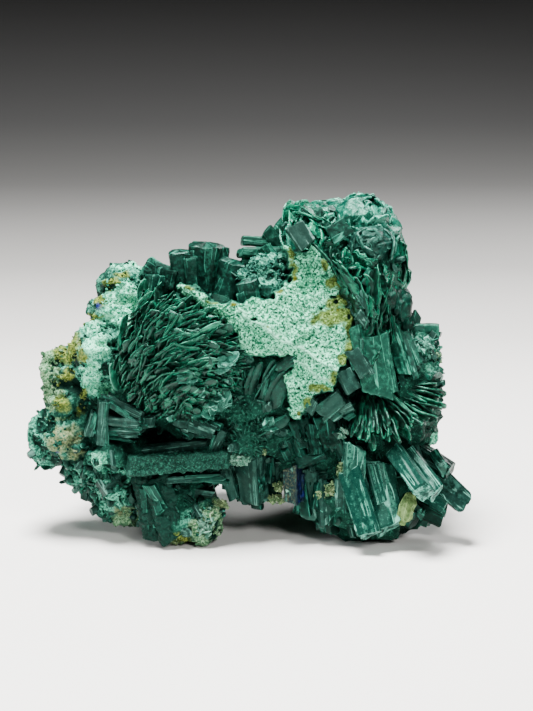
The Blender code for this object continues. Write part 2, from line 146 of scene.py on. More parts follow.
class Wire:
    """A socket in a material, on which sums are written as Python expressions."""

    def __init__(self, tree, socket=None):
        self.tree, self.socket = tree, socket

    def node(self, kind, settings=None, sockets=None, out=0):
        """A node of any kind: its settings are set first, then its sockets by value or link; gives one output."""
        made = self.tree.nodes.new(kind)
        for key, value in (settings or {}).items():
            if key == "stops":
                ramp = made.color_ramp
                while len(ramp.elements) < len(value):
                    ramp.elements.new(0.5)
                for stop, (place, colour) in zip(ramp.elements, value):
                    stop.position, stop.color = place, (*colour, 1)
            else:
                setattr(made, key, value)
        for key, value in (sockets or {}).items():
            if isinstance(value, Wire):
                self.tree.links.new(value.socket, made.inputs[key])
            else:
                made.inputs[key].default_value = value
        return Wire(self.tree, made.outputs[out])

    def sum(self, operation, *others):
        places = {index: other for index, other in enumerate((self, *others))}
        return self.node("ShaderNodeMath", {"operation": operation}, places)

    def __add__(self, other):
        return self.sum("ADD", other)

    __radd__ = __add__

    def __mul__(self, other):
        return self.sum("MULTIPLY", other)

    __rmul__ = __mul__

    def __sub__(self, other):
        return self.sum("SUBTRACT", other)

    def __rsub__(self, other):
        return (self * -1.0) + other

    def step(self, low, high):
        """0 under low, 1 over high, smooth between."""
        return self.node("ShaderNodeMapRange", {"interpolation_type": "SMOOTHSTEP"},
                         {"Value": self, "From Min": low, "From Max": high})

    def over(self, under, colour):
        """This wire as a mask: colour over under."""
        made = self.tree.nodes.new("ShaderNodeMix")
        made.data_type = "RGBA"
        for key, value in ((0, self), (6, under), (7, colour)):
            if isinstance(value, Wire):
                self.tree.links.new(value.socket, made.inputs[key])
            else:
                made.inputs[key].default_value = (*value, 1)
        return Wire(self.tree, made.outputs[2])


def painted(item, name, recipe, shine=0.2, **constants):
    """Gives item a new material: recipe takes a wire and returns what its shader's varying sockets get.

    shine is the strength of its reflections, which stays low on a skin that is all small crystals.
    """
    material = bpy.data.materials.new(name)
    material.use_nodes = True
    tree = material.node_tree
    shader = tree.nodes["Principled BSDF"]
    tinted = {"Specular_IOR_Level": shine, "Specular_Tint": (0.40, 1.0, 0.78, 1.0)}
    for key, value in {**tinted, **constants}.items():
        shader.inputs[key.replace("_", " ")].default_value = value
    for key, wire in recipe(Wire(tree)).items():
        tree.links.new(wire.socket, shader.inputs[key])
    item.data.materials.clear()
    item.data.materials.append(material)
    return material


def spotted(wire, scale, detail=3.0, roughness=0.55):
    """Soft noise from 0 to 1 in the piece's own coordinates, scale in spots per metre."""
    place = wire.node("ShaderNodeTexCoord", out="Object")
    return wire.node("ShaderNodeTexNoise", None,
                     {"Vector": place, "Scale": scale, "Detail": detail, "Roughness": roughness})


def bumped(wire, height, strength, distance):
    return wire.node("ShaderNodeBump", None, {"Height": height, "Strength": strength, "Distance": distance})


FLOOR_WIDE, FLOOR_NEAR, FLOOR_FAR, BACKDROP_HIGH, BEND = 1600.0, -700.0, 420.0, 1100.0, 260.0


def floor_and_backdrop():
    """A profile carried sideways: level, then a quarter of a circle of radius BEND, then straight up."""
    turn = np.linspace(0, math.pi / 2, 24)
    depth = np.concatenate([[FLOOR_NEAR, 0.0], FLOOR_FAR + BEND * np.sin(turn), [FLOOR_FAR + BEND]])
    rise = np.concatenate([[0.0, 0.0], BEND * (1 - np.cos(turn)), [BACKDROP_HIGH]])
    across = np.array([[-FLOOR_WIDE], [FLOOR_WIDE]]) * np.ones(len(depth))
    points = np.stack([across, np.tile(depth, (2, 1)), np.tile(rise, (2, 1))], axis=-1).reshape(-1, 3)
    return put("floor", points, faces_of_grid(2, len(depth)))


def paper_look(wire):
    """Pale paper, painted darker and darker towards the back as painted shade, with hardly seen clouds."""
    place = wire.node("ShaderNodeTexCoord", out="Object")
    back = wire.node("ShaderNodeSeparateXYZ", None, {"Vector": place}, out="Y")
    # Painted shade: the colour falls from pale to near black with depth, where the light falls off.
    shade = (back * 1.0).step(0.04, 1.04)
    stops = [(0.0, (0.72, 0.71, 0.69)), (0.04, (0.51, 0.50, 0.485)), (0.12, (0.305, 0.300, 0.292)),
             (0.26, (0.175, 0.174, 0.170)), (0.44, (0.054, 0.054, 0.054)), (0.56, (0.005, 0.005, 0.005)),
             (0.68, (0.0007, 0.0007, 0.0007))]
    tone = wire.node("ShaderNodeValToRGB", {"stops": stops}, {"Fac": shade})
    return {"Base Color": (spotted(wire, 3.0) * 0.02).over(tone, (0.4, 0.4, 0.4))}


floor = floor_and_backdrop()
painted(floor, "paper painted darker to the back", paper_look, Roughness=0.85, Specular_Tint=(1.0, 1.0, 1.0, 1.0))


# The matrix: rock and early malachite crust that everything grew on, one lumpy mass with feet, shoulders and
# the core of the dome. Its skin is granular, with patches of mint velvet, yellow-green moss and pale sage.
# It is made of rounded lumps that are run together into one skin and then pushed in and out.
LUMPS = [
    (-18.6, 30.0, 0.5, 8.4, 12.0, 13.4), (-30.4, 16.8, -3.5, 6.4, 6.6, 4.8), (-21.4, 10.4, -3.0, 6.2, 7.5, 5.6),
    (-20.5, 4.4, -4.0, 2.6, 3.0, 2.8), (-11.8, 4.8, -5.5, 5.4, 7.5, 6.8), (20.5, 7.7, -4.0, 10.4, 8.5, 8.4),
    (23.5, 23.5, 0.0, 8.2, 12.0, 12.0), (19.0, 44.6, 0.5, 6.2, 9.0, 9.8), (11.2, 46.2, 0.0, 6.0, 8.6, 8.8),
    (-10.0, 37.0, 2.0, 11.0, 9.5, 6.6), (1.0, 27.5, 7.0, 25.4, 13.8, 17.5), (-12.5, 9.6, 9.5, 6.8, 7.4, 10.0),
    (15.8, 9.8, 10.5, 8.0, 7.4, 10.0), (9.0, 18.0, -4.0, 9.0, 7.0, 7.0), (-30.4, 27.0, -3.0, 3.2, 5.0, 4.2),
    (-30.8, 23.4, -3.0, 3.0, 5.2, 3.2), (-22.8, 37.0, -3.5, 3.0, 5.0, 4.6), (-20.5, 41.8, -1.5, 4.6, 6.0, 3.4),
    (-24.8, 30.6, -8.5, 4.2, 4.0, 5.0), (0.0, 27.0, 0.0, 21.0, 12.5, 12.5), (2.8, 43.3, -4.5, 4.2, 4.2, 3.4),
    (-6.8, 2.6, -10.5, 2.7, 3.0, 3.8), (-22.3, 14.5, -9.0, 3.8, 3.4, 2.8), (28.4, 30.8, -5.0, 2.4, 3.0, 2.6),
    (28.6, 26.6, -6.0, 3.5, 4.0, 2.5), (-10.0, 30.5, -8.5, 10.5, 7.0, 9.0), (-0.6, 18.5, -9.0, 4.0, 4.0, 4.4),
    (-27.0, 12.2, -4.0, 3.6, 4.6, 3.4), (-23.4, 7.4, -5.0, 3.2, 4.0, 3.6), (-18.8, 9.2, 6.0, 6.2, 7.2, 7.4),
    (-22.4, 17.6, 8.0, 5.6, 6.4, 6.2), (23.2, 11.4, 6.6, 5.4, 7.0, 8.6), (13.4, 16.4, 13.4, 5.2, 5.4, 5.8),
    (-8.0, 19.6, 15.0, 6.2, 4.8, 5.4), (-14.6, 6.2, 13.0, 3.4, 3.6, 3.8), (20.6, 5.6, 13.2, 3.6, 3.6, 4.0),
    (4.0, 36.6, 13.0, 7.2, 5.2, 5.0), (-12.0, 33.0, 14.4, 6.0, 4.6, 5.0), (26.4, 20.0, 9.6, 4.4, 6.4, 5.4),
    (-26.2, 25.4, -5.4, 3.2, 4.6, 4.0), (-25.4, 26.4, 0.0, 5.6, 9.0, 6.0), (-24.6, 20.4, -1.0, 5.0, 7.5, 5.4),
]
LUMP_ROUGHNESS = 0.16
SKIN_CELL = 0.72 * MM

# Patches on the shown side: middle across and up, and half their size across and up.
MINT = [(-25.6, 26.2, 1.6, 2.2), (-20.6, 38.2, 3.7, 4.0), (-19.6, 36.0, 2.2, 2.0), (-25.0, 35.0, 2.2, 1.1), (-20.0, 44.6, 2.6, 0.45),
        (-23.6, 24.4, 2.3, 1.2), (-25.4, 27.4, 1.7, 3.0), (-24.2, 31.8, 2.0, 2.2), (-2.0, 13.2, 2.0, 1.2),
        (-24.4, 13.6, 1.5, 1.0), (-4.4, 29.2, 1.5, 1.4), (30.8, 16.0, 0.8, 1.8)]
MOSS = [(-31.0, 30.6, 1.2, 1.6), (-29.4, 27.0, 1.2, 1.4), (-22.2, 42.2, 1.6, 0.6), (-28.4, 31.6, 1.7, 2.6), (-26.4, 30.2, 1.0, 1.4), (-25.8, 36.6, 2.4, 0.8), (-24.0, 38.8, 1.0, 1.4),
        (-22.8, 41.4, 0.6, 0.9), (-17.0, 41.0, 0.8, 0.6), (-20.8, 43.4, 1.6, 0.5), (-27.0, 24.0, 1.0, 1.6),
        (-27.4, 21.4, 1.3, 1.0), (-30.6, 22.4, 1.6, 1.4), (-29.6, 29.6, 1.2, 1.0), (-30.5, 26.0, 1.4, 1.4),
        (-12.4, 0.4, 2.8, 1.0), (-26.2, 36.0, 1.0, 0.8), (1.6, 40.4, 1.2, 0.8), (12.0, 8.0, 1.6, 1.4)]
SAGE = [(-32.4, 28.2, 1.8, 4.2), (-31.9, 23.6, 1.8, 2.4), (-6.8, 2.4, 2.8, 4.0), (-20.4, 3.6, 2.6, 2.0),
        (-31.6, 19.9, 2.4, 0.5), (31.4, 30.4, 1.0, 2.4), (-4.6, 5.8, 1.6, 1.2), (-3.4, 44.0, 1.0, 1.0)]
TAN = [(-30.4, 16.4, 3.0, 2.6), (-28.2, 14.2, 1.8, 1.4), (-31.4, 13.6, 1.4, 0.8), (-29.6, 31.0, 0.5, 0.5),
       (-26.8, 32.4, 0.7, 0.7), (-20.6, 4.8, 1.8, 0.8)]
TEAL = [(2.8, 44.0, 5.0, 3.8), (-25.5, 31.0, 6.5, 12.0), (-33.0, 16.5, 4.8, 5.6), (-25.0, 8.4, 6.0, 6.0),
        (-8.0, 3.4, 3.0, 3.0), (28.6, 30.5, 3.5, 3.5), (-19.0, 43.4, 4.6, 2.6)]
BLUE = [(-24.2, 38.2, 0.45, 0.55), (-31.2, 14.6, 0.3, 0.3), (-19.5, 3.8, 0.5, 0.4), (-13.4, -0.8, 0.7, 0.3)]


def lattice(cell, seed):
    """A fixed number from 0 to 1 for each whole-number cell: its coordinates multiplied, mixed and cut down."""
    mixed = cell[..., 0] * 374761393 + cell[..., 1] * 668265263 + cell[..., 2] * 1440662683 + seed * 974634777
    mixed = (mixed ^ (mixed >> 13)) * 1274126177
    return ((mixed ^ (mixed >> 16)) & 0xFFFFF) / 0xFFFFF


def noise(points, size, seed=0):
    """From -1 to 1: fixed numbers at the corners of cubes of this size, blended smoothly in between."""
    place = points / size
    cell = np.floor(place).astype(np.int64)
    part = place - cell
    part = part * part * (3 - 2 * part)
    total = 0
    for corner in np.ndindex(2, 2, 2):
        corner = np.array(corner)
        total = total + np.prod(np.where(corner, part, 1 - part), axis=-1) * lattice(cell + corner, seed)
    return total * 2 - 1


def rough(points, size, seed=0, layers=4):
    """Layers of noise added up, each of half the size and height of the one before."""
    return sum(noise(points, size / 2 ** layer, seed + layer) / 2 ** layer for layer in range(layers))


def grains(points, size, seed=0):
    """The distance to the nearest of one point in each cube of this size, over the size: 0 on a grain's top."""
    place = points / size
    cell = np.floor(place).astype(np.int64)
    nearest = np.full(points.shape[:-1], 9.0)
    for shift in np.ndindex(3, 3, 3):
        other = cell + np.array(shift) - 1
        heart = other + np.stack([lattice(other, seed + axis) for axis in (11, 23, 37)], axis=-1)
        nearest = np.minimum(nearest, np.linalg.norm(place - heart, axis=-1))
    return nearest


def lumps(rows, around=40, rings=26):
    """Spheres stretched to three radii: latitude by longitude, each radius swollen or pinched by soft noise."""
    turn = np.linspace(0, 2 * math.pi, around, endpoint=False)
    fall = np.linspace(0.04, math.pi - 0.04, rings)[:, None]
    ball = np.stack([np.sin(fall) * np.cos(turn), np.sin(fall) * np.sin(turn), np.cos(fall) * np.ones(around)], -1)
    ball = np.concatenate([ball.reshape(-1, 3), [[0, 0, 1], [0, 0, -1]]])
    quads = faces_of_grid(rings, around, closed=True)
    near, last = np.arange(around), (rings - 1) * around
    top = np.stack([near, (near + 1) % around, np.full(around, len(ball) - 2)], axis=-1)
    bottom = np.stack([(near + 1) % around + last, near + last, np.full(around, len(ball) - 1)], axis=-1)
    points, all_quads, all_ends = [], [], []
    for index, (across, up, depth, wide, deep, high) in enumerate(rows):
        swell = rough(ball + index * 7.7, 0.9, index, 3) - np.abs(noise(ball - index * 3.3, 0.5, index)) + 0.25
        radii = np.array([wide, deep, high]) * (1 + LUMP_ROUGHNESS * swell)[:, None]
        points.append(seen(across, up, depth) + ball * radii)
        all_quads.append(quads + index * len(ball))
        all_ends.append(np.concatenate([top, bottom])[:, ::-1] + index * len(ball))
    return np.concatenate(points), np.concatenate(all_quads)[:, ::-1], np.concatenate(all_ends)


def patch(points, rows, edge=0.5, ragged=0.55):
    """1 inside soft ovals on the shown side and 0 outside: across and up as seen, with a ragged edge."""
    across = points[:, 0]
    up = points[:, 2] * math.cos(VIEW_TILT) + points[:, 1] * math.sin(VIEW_TILT) + LEVEL
    best = np.zeros(len(points))
    for mid_across, mid_up, half_across, half_up in rows:
        reach = ((across - mid_across) / half_across) ** 2 + ((up - mid_up) / half_up) ** 2
        best = np.maximum(best, 1.6 - reach)
    ragged_edge = best + ragged * rough(points, 1.3, 5, 3) - 0.6
    return np.clip(ragged_edge / edge, 0, 1) * (best > 0) * (points[:, 1] < 3.0)


def behind(points, seed, least, size=6.5):
    """1 inside soft patches on the sides and the back and 0 outside: where noise of this size is above least."""
    return np.clip((noise(points, size, seed) - least) * 5, 0, 1) * np.clip((points[:, 1] - 2.0) / 2.5, 0, 1)


def inside_box(points):
    """Keeps every point inside the solid model's own box."""
    low, high = np.array(cad_box[0]) / MM, np.array(cad_box[1]) / MM
    return np.clip(points, low + [0.02, 0.02, 0.0], high - 0.02)


def skin_of(mesh):
    """The points of a mesh in millimetres, and its normals there."""
    points, normals = np.empty(len(mesh.vertices) * 3), np.empty(len(mesh.vertices) * 3)
    mesh.vertices.foreach_get("co", points)
    mesh.vertex_normals.foreach_get("vector", normals)
    return points.reshape(-1, 3) / MM, normals.reshape(-1, 3)


def matrix_skin():
    """The lumps run together, then moved along their normals by rough noise, ledges and two sizes of grains."""
    points, quads, ends = lumps(LUMPS)
    raw = put("matrix", points, quads, ends)
    remesh = raw.modifiers.new("one skin", "REMESH")
    remesh.mode, remesh.voxel_size, remesh.use_smooth_shade = "VOXEL", SKIN_CELL, True
    bpy.context.view_layer.update()
    skin = bpy.data.meshes.new_from_object(raw.evaluated_get(bpy.context.evaluated_depsgraph_get()))
    raw.modifiers.clear()
    raw.data = skin
    finer = bmesh.new()
    finer.from_mesh(skin)
    points = np.array([corner.co for corner in finer.verts]) / MM
    shown = np.max([patch(points, rows) for rows in (TEAL, MINT, MOSS, SAGE, TAN)], axis=0) > 0.1
    chosen = [edge for edge in finer.edges if shown[edge.verts[0].index] and shown[edge.verts[1].index]]
    bmesh.ops.subdivide_edges(finer, edges=chosen, cuts=1, smooth=0.6, use_grid_fill=True)
    bmesh.ops.triangulate(finer, faces=[face for face in finer.faces if len(face.verts) > 4])
    finer.to_mesh(skin)
    finer.free()
    points, normals = skin_of(skin)
    masks = {"teal": patch(points, TEAL) + behind(points, 31, -0.15), "mint": patch(points, MINT) + behind(points, 32, 0.56),
             "moss": patch(points, MOSS) + behind(points, 33, 0.66, 5.0),
             "sage": patch(points, SAGE) + behind(points, 34, 0.62),
             "tan": patch(points, TAN) + behind(points, 35, 0.66), "blue": patch(points, BLUE, ragged=0.2)}
    ledges = np.abs(noise(points * [1, 1, 1.6], 2.6, 3))
    lift = 0.75 * rough(points, 4.2, 1, 4) - 0.9 * ledges + 0.25
    lift += 0.42 * (0.55 - grains(points, 1.5, 2)) + 0.25 * (0.55 - grains(points, 0.8, 9))
    crusted = np.clip(masks["sage"] + masks["moss"] + masks["tan"] + 0.7 * masks["teal"] + 0.3 * masks["mint"], 0, 1)
    ridges = 1 - 3.2 * np.abs(noise(points, 1.9, 4)) + 0.5 * (1 - 3.2 * np.abs(noise(points, 0.95, 6)))
    ridges = np.clip(ridges, -1.4, 1.5)
    lift += 0.42 * crusted * ridges
    lift += 0.50 * (1 - 0.6 * crusted) * np.clip(1 - 3 * np.abs(noise(points, 3.3, 12)), -1.2, 1)
    lift -= 0.9 * masks["teal"] * (1 - masks["mint"]) * np.clip(noise(points, 3.4, 15) - 0.1, 0, 1)
    skin.vertices.foreach_set("co", (inside_box(points + normals * lift[:, None]) * MM).astype(np.float32).ravel())
    # A mask for painted shade: strongest where the skin sinks, weaker on mint and tan.
    masks["hollow"] = np.clip(0.47 - 0.6 * lift - 0.30 * crusted * ridges, 0, 1) * (1 - 0.92 * masks["mint"]) * (1 - 0.45 * masks["tan"])
    for key, numbers in masks.items():
        skin.attributes.new(key, "FLOAT", "POINT").data.foreach_set("value", numbers.astype(np.float32))
    skin.update()
    skin.set_sharp_from_angle(angle=math.radians(38))
    return raw


def attribute(wire, name):
    return wire.node("ShaderNodeAttribute", {"attribute_name": name}, out="Fac")


def matrix_look(wire):
    """Dark teal rock with paler grains, each kind of patch laid over it with its own specks, and painted shade in its
    recesses.
    """
    broad, fine, dust = spotted(wire, 300, 5), spotted(wire, 1300, 4, 0.65), spotted(wire, 2800, 4, 0.65)
    colour = broad.step(0.35, 0.65).over((0.0006, 0.009, 0.006), (0.004, 0.036, 0.023))
    colour = (fine.step(0.45, 0.70) * 0.6).over(colour, (0.007, 0.052, 0.034))
    colour = (dust.step(0.52, 0.60) * fine.step(0.42, 0.58) * 0.7).over(colour, (0.026, 0.155, 0.100))
    colour = (attribute(wire, "teal") * fine.step(0.32, 0.50)).over(colour, (0.015, 0.115, 0.075))
    colour = (attribute(wire, "teal") * dust.step(0.47, 0.53)).over(colour, (0.085, 0.35, 0.235))
    colour = (attribute(wire, "sage") * fine.step(0.30, 0.46)).over(colour, (0.045, 0.125, 0.058))
    colour = (attribute(wire, "sage") * dust.step(0.47, 0.54)).over(colour, (0.19, 0.35, 0.19))
    colour = (attribute(wire, "mint") * fine.step(0.12, 0.32)).over(colour, (0.030, 0.24, 0.140))
    colour = (attribute(wire, "mint") * dust.step(0.41, 0.48)).over(colour, (0.22, 0.76, 0.50))
    colour = (attribute(wire, "moss") * fine.step(0.28, 0.46)).over(colour, (0.055, 0.090, 0.012))
    colour = (attribute(wire, "moss") * dust.step(0.47, 0.54)).over(colour, (0.165, 0.205, 0.036))
    colour = (attribute(wire, "tan") * fine.step(0.34, 0.52)).over(colour, (0.050, 0.085, 0.038))
    colour = (attribute(wire, "tan") * dust.step(0.47, 0.54)).over(colour, (0.155, 0.185, 0.090))
    colour = attribute(wire, "blue").over(colour, (0.006, 0.008, 0.09))
    # Painted shade: near-black green in the recesses.
    colour = attribute(wire, "hollow").step(0.42, 0.85).over(colour, (0.0012, 0.009, 0.006))
    return {"Base Color": colour, "Roughness": fine * 0.3 + 0.5,
            "Normal": bumped(wire, dust + fine * 0.8, 0.85, 0.0004)}


matrix = matrix_skin()
painted(matrix, "crusted matrix", matrix_look, shine=0.12)
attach(matrix, "root")
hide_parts("malachite_cluster")


# The pale plate: a broken contact face of pale mint velvet, folded along a slanting ridge, on a bed of crust
# that reaches back into the matrix. Yellow-green and orange stains lie along its right and upper edges.
PLATE_OUTLINE = [
    (-11.0, 40.9), (-10.5, 41.5), (-9.6, 41.5), (-8.4, 40.9), (-7.4, 40.2), (-6.4, 39.4), (-5.2, 38.7), (-3.8, 38.3),
    (-2.4, 38.8), (-1.2, 38.5), (0.2, 38.7), (1.2, 39.4), (2.6, 39.2), (3.8, 39.6), (4.8, 40.6), (5.8, 41.4),
    (6.6, 42.4), (7.4, 43.4), (7.4, 44.2), (6.3, 44.9), (6.6, 46.0), (5.9, 47.9), (6.9, 48.0), (7.6, 46.9),
    (8.6, 46.7), (9.8, 47.2), (10.5, 48.6), (11.4, 47.9), (12.3, 46.2), (13.6, 44.2), (15.0, 42.6), (16.4, 41.0),
    (17.6, 40.2), (17.6, 38.8), (17.1, 37.4), (17.4, 36.2), (17.0, 34.4), (16.8, 32.8), (16.9, 31.2), (15.8, 30.2),
    (15.4, 28.8), (14.2, 27.8), (14.2, 26.2), (13.4, 24.9), (11.8, 24.4), (10.4, 23.4), (9.4, 21.8), (8.4, 20.4),
    (7.3, 19.6), (6.6, 20.6), (6.9, 22.2), (6.3, 23.8), (6.4, 25.4), (5.8, 27.0), (6.6, 28.4), (7.4, 29.9),
    (6.0, 30.4), (4.4, 30.1), (3.0, 30.4), (1.4, 29.9), (0.0, 29.6), (-1.2, 30.4), (-1.6, 32.4), (-1.9, 34.0),
    (-2.8, 35.2), (-4.0, 36.0), (-5.4, 36.8), (-7.0, 37.7), (-8.6, 38.9), (-10.2, 39.9),
]
PLATE_FACE, PLATE_THICK, PLATE_CELL = -15.5, 6.0, 0.125
RIDGE_ACROSS, RIDGE_UP, RIDGE_FALL, RIDGE_RUN = -2.0, 37.6, 9.0, 15.0
PLATE_STAINS = [(14.4, 41.8, 2.0, 1.6), (15.8, 39.2, 1.7, 1.8), (12.6, 36.4, 3.0, 1.6), (15.8, 37.0, 1.6, 2.0),
                (16.6, 34.6, 1.0, 2.6), (16.2, 32.0, 0.9, 1.4), (13.6, 26.6, 1.3, 1.3), (11.6, 25.0, 2.0, 0.8),
                (12.4, 45.4, 0.7, 1.8), (7.2, 43.6, 0.9, 1.6), (13.6, 38.6, 1.6, 1.1), (9.6, 22.6, 0.9, 1.0),
                (15.2, 29.6, 0.8, 1.0), (-8.6, 41.2, 1.6, 0.5), (-5.4, 38.9, 1.4, 0.5), (7.0, 46.4, 0.7, 1.2)]
PLATE_ORANGE = [(-2.4, 38.4, 0.8, 0.4), (5.0, 40.6, 0.9, 0.5), (8.4, 20.9, 0.5, 0.4), (3.2, 34.8, 0.4, 0.2),
                (14.4, 37.6, 0.3, 0.2), (7.6, 42.6, 0.4, 0.5), (-8.0, 40.8, 0.6, 0.3), (16.4, 31.0, 0.4, 0.3)]
PLATE_PITS = [(13.7, 39.7, 0.7, 0.3), (14.2, 38.9, 0.4, 0.4), (11.8, 37.8, 0.35, 0.25), (8.2, 25.0, 0.25, 0.2),
              (1.0, 36.0, 0.6, 0.3), (16.3, 36.4, 0.3, 0.5)]


def plate_depth(across, up):
    """Nearest at the ridge, leaning back 0.45 a millimetre above it and 0.15 below, and back to the left."""
    above = (across - RIDGE_ACROSS) * RIDGE_FALL + (up - RIDGE_UP) * RIDGE_RUN
    above = above / math.hypot(RIDGE_FALL, RIDGE_RUN)
    lean = 0.45 * np.maximum(above, 0) + 0.15 * np.maximum(-above, 0)
    return PLATE_FACE + lean + 0.27 * np.maximum(RIDGE_ACROSS - across, 0), above


def distance_to_outline(across, up, outline):
    """Distance to the nearest stretch of a closed outline, counted negative outside it."""
    best, crossings = np.full(across.shape, 99.0), np.zeros(across.shape, int)
    for (x0, up0), (x1, up1) in zip(outline, outline[1:] + outline[:1]):
        part = np.clip(((across - x0) * (x1 - x0) + (up - up0) * (up1 - up0)) / ((x1 - x0) ** 2 + (up1 - up0) ** 2), 0, 1)
        best = np.minimum(best, np.hypot(across - x0 - part * (x1 - x0), up - up0 - part * (up1 - up0)))
        if up0 != up1:
            crossings += ((up0 > up) != (up1 > up)) & (across < (x1 - x0) * (up - up0) / (up1 - up0) + x0)
    return np.where(crossings % 2 == 1, best, -best)


def pale_plate():
    """A grid over the outline. Height falls off steeply at the rim, and the rim runs back into the matrix."""
    columns, rows = int(32 / PLATE_CELL), int(31 / PLATE_CELL)
    across, up = np.meshgrid(np.linspace(-13.5, 18.5, columns), np.linspace(18.4, 49.4, rows))
    flat = np.stack([across, up, np.zeros_like(up)], -1)
    ragged = 0.50 * rough(flat, 1.4, 21, 3) + 0.20 * rough(flat, 0.6, 22, 2)
    inward = distance_to_outline(across, up, PLATE_OUTLINE) + ragged
    depth, above = plate_depth(across, up)
    above = above + 0.45 * rough(flat, 2.2, 23, 3)
    crest = np.exp(-(above / 0.22) ** 2) * np.clip(across + 2, 0, 1) * np.clip(0.8 + noise(flat, 3.0, 24), 0.2, 1)
    crest = crest + 0.5 * np.exp(-((above + 2.2) / 0.22) ** 2) * (across > 4)
    velvet = 0.26 * (0.55 - grains(flat, 0.42, 5)) + 0.22 * (0.5 - grains(flat, 0.26, 6))
    swell = 0.7 * rough(flat, 5.0, 8, 3) + 0.45 * rough(flat, 1.5, 12, 3)
    depth = depth - swell * 0.8 - 1.25 * velvet - 0.55 * crest
    pits = patch(seen(across, up, 0).reshape(-1, 3), PLATE_PITS, ragged=0.3).reshape(across.shape)
    depth = depth + 0.7 * pits
    rim = np.clip(inward / 0.9, 0, 1)
    depth = depth + 0.9 * (1 - np.sqrt(1 - (1 - rim) ** 2 + 1e-9)) * (inward > 0)
    depth = np.where(inward > 0, depth, depth + 0.9 + PLATE_THICK * np.clip(-inward / 0.5, 0, 1))
    points = seen(across, up, depth).reshape(-1, 3)
    quads = faces_of_grid(rows, columns)
    quads = quads[inward.ravel()[quads].min(axis=1) > -0.5]
    used, quads = np.unique(quads, return_inverse=True)
    flat_points = seen(across, up, 0).reshape(-1, 3)[used]
    face = np.clip(inward.ravel()[used] / 0.15, 0, 1)
    values = {"stain": patch(flat_points, PLATE_STAINS) * face,
              "orange": patch(flat_points, PLATE_ORANGE, ragged=0.4) * face,
              "pit": pits.ravel()[used], "crest": crest.ravel()[used] * face,
              "hollow": np.clip(0.5 - 2.2 * velvet.ravel()[used], 0, 1) * face, "side": 1 - face}
    return put("pale_plate", inside_box(points[used]), quads.reshape(-1, 4), values=values)


def plate_look(wire):
    """Pale mint with darker green painted as shade between its grains and near black in its pits, crossed by stains,
    and dark green on its broken side.
    """
    fine, dust, broad, speck = spotted(wire, 1400, 5, 0.7), spotted(wire, 3000, 4, 0.65), spotted(wire, 260, 4), spotted(wire, 2400, 4, 0.7)
    colour = broad.step(0.35, 0.65).over((0.034, 0.31, 0.155), (0.070, 0.45, 0.250))
    colour = (dust + (broad - 0.5) * 0.35).step(0.42, 0.54).over(colour, (0.23, 0.82, 0.51))
    # Painted shade: darker green between the grains.
    colour = attribute(wire, "hollow").step(0.55, 0.85).over(colour, (0.008, 0.085, 0.045))
    colour = speck.step(0.49, 0.57).over(colour, (0.009, 0.100, 0.050))
    colour = (speck * fine).step(0.275, 0.32).over(colour, (0.003, 0.040, 0.020))
    colour = (fine.step(0.56, 0.64) * broad.step(0.38, 0.55) * 0.8).over(colour, (0.010, 0.110, 0.058))
    colour = (attribute(wire, "crest") * fine.step(0.36, 0.52) * 0.8).over(colour, (0.34, 0.84, 0.60))
    colour = (attribute(wire, "stain") * fine.step(0.24, 0.44)).over(colour, (0.080, 0.135, 0.024))
    colour = (attribute(wire, "stain") * dust.step(0.50, 0.57)).over(colour, (0.026, 0.050, 0.009))
    colour = (attribute(wire, "stain") * speck.step(0.54, 0.61)).over(colour, (0.19, 0.32, 0.10))
    colour = (attribute(wire, "orange") * fine.step(0.25, 0.45)).over(colour, (0.075, 0.082, 0.005))
    # Painted shade: the dented pits near black.
    colour = attribute(wire, "pit").over(colour, (0.004, 0.020, 0.014))
    colour = attribute(wire, "side").over(colour, fine.step(0.36, 0.60).over((0.003, 0.028, 0.018), (0.016, 0.105, 0.066)))
    return {"Base Color": colour, "Roughness": dust * 0.2 + 0.65,
            "Normal": bumped(wire, dust + fine, 0.95, 0.0004)}


plate = pale_plate()
painted(plate, "pale mint velvet", plate_look, shine=0.12)
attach(plate, "root")


# The dark rosette on the left: hundreds of thin curved blades of malachite after azurite, grown outwards
# from the lower left over a bulge, so that they overlap like shingles and are seen mostly edge on.
ROSETTE_MIDDLE, ROSETTE_HALF = (-11.6, 30.6), (10.6, 10.9)
ROSETTE_FACE, ROSETTE_BULGE = -11.2, 6.0
ROSETTE_BLADES, BLADE_LONG, BLADE_WIDE, BLADE_THICK = 740, (1.9, 5.6), (1.3, 3.4), (0.12, 0.36)
BRIGHT_BLADES = [
    (-18.0, 36.4, -15.2, 40.6, -14.2, -14.8, 2.2, 0.5, 42), (-15.8, 34.4, -12.6, 38.4, -15.8, -16.4, 2.0, 0.5, 48),
    (-13.4, 33.4, -9.0, 36.9, -16.6, -17.2, 2.2, 0.5, 46), (-11.6, 31.0, -4.2, 35.6, -17.0, -17.6, 2.0, 0.5, 52),
    (-12.6, 30.6, -6.0, 33.0, -17.4, -17.8, 2.4, 0.5, 50), (-8.2, 36.9, -3.0, 38.2, -13.8, -14.0, 2.0, 0.5, 60),
    (-9.6, 28.8, -4.6, 29.4, -17.4, -17.2, 2.4, 0.5, 50), (-10.8, 26.2, -7.4, 27.2, -16.8, -16.8, 1.8, 0.5, 40),
    (-20.4, 33.0, -19.6, 37.0, -12.6, -12.8, 2.2, 0.6, 60), (-17.2, 38.4, -16.8, 42.6, -11.4, -11.2, 2.6, 0.6, 55),
    (-21.0, 24.6, -22.0, 29.0, -12.6, -12.6, 2.6, 0.7, 55), (-20.4, 27.0, -20.0, 32.4, -13.0, -13.2, 2.4, 0.6, 65),
]


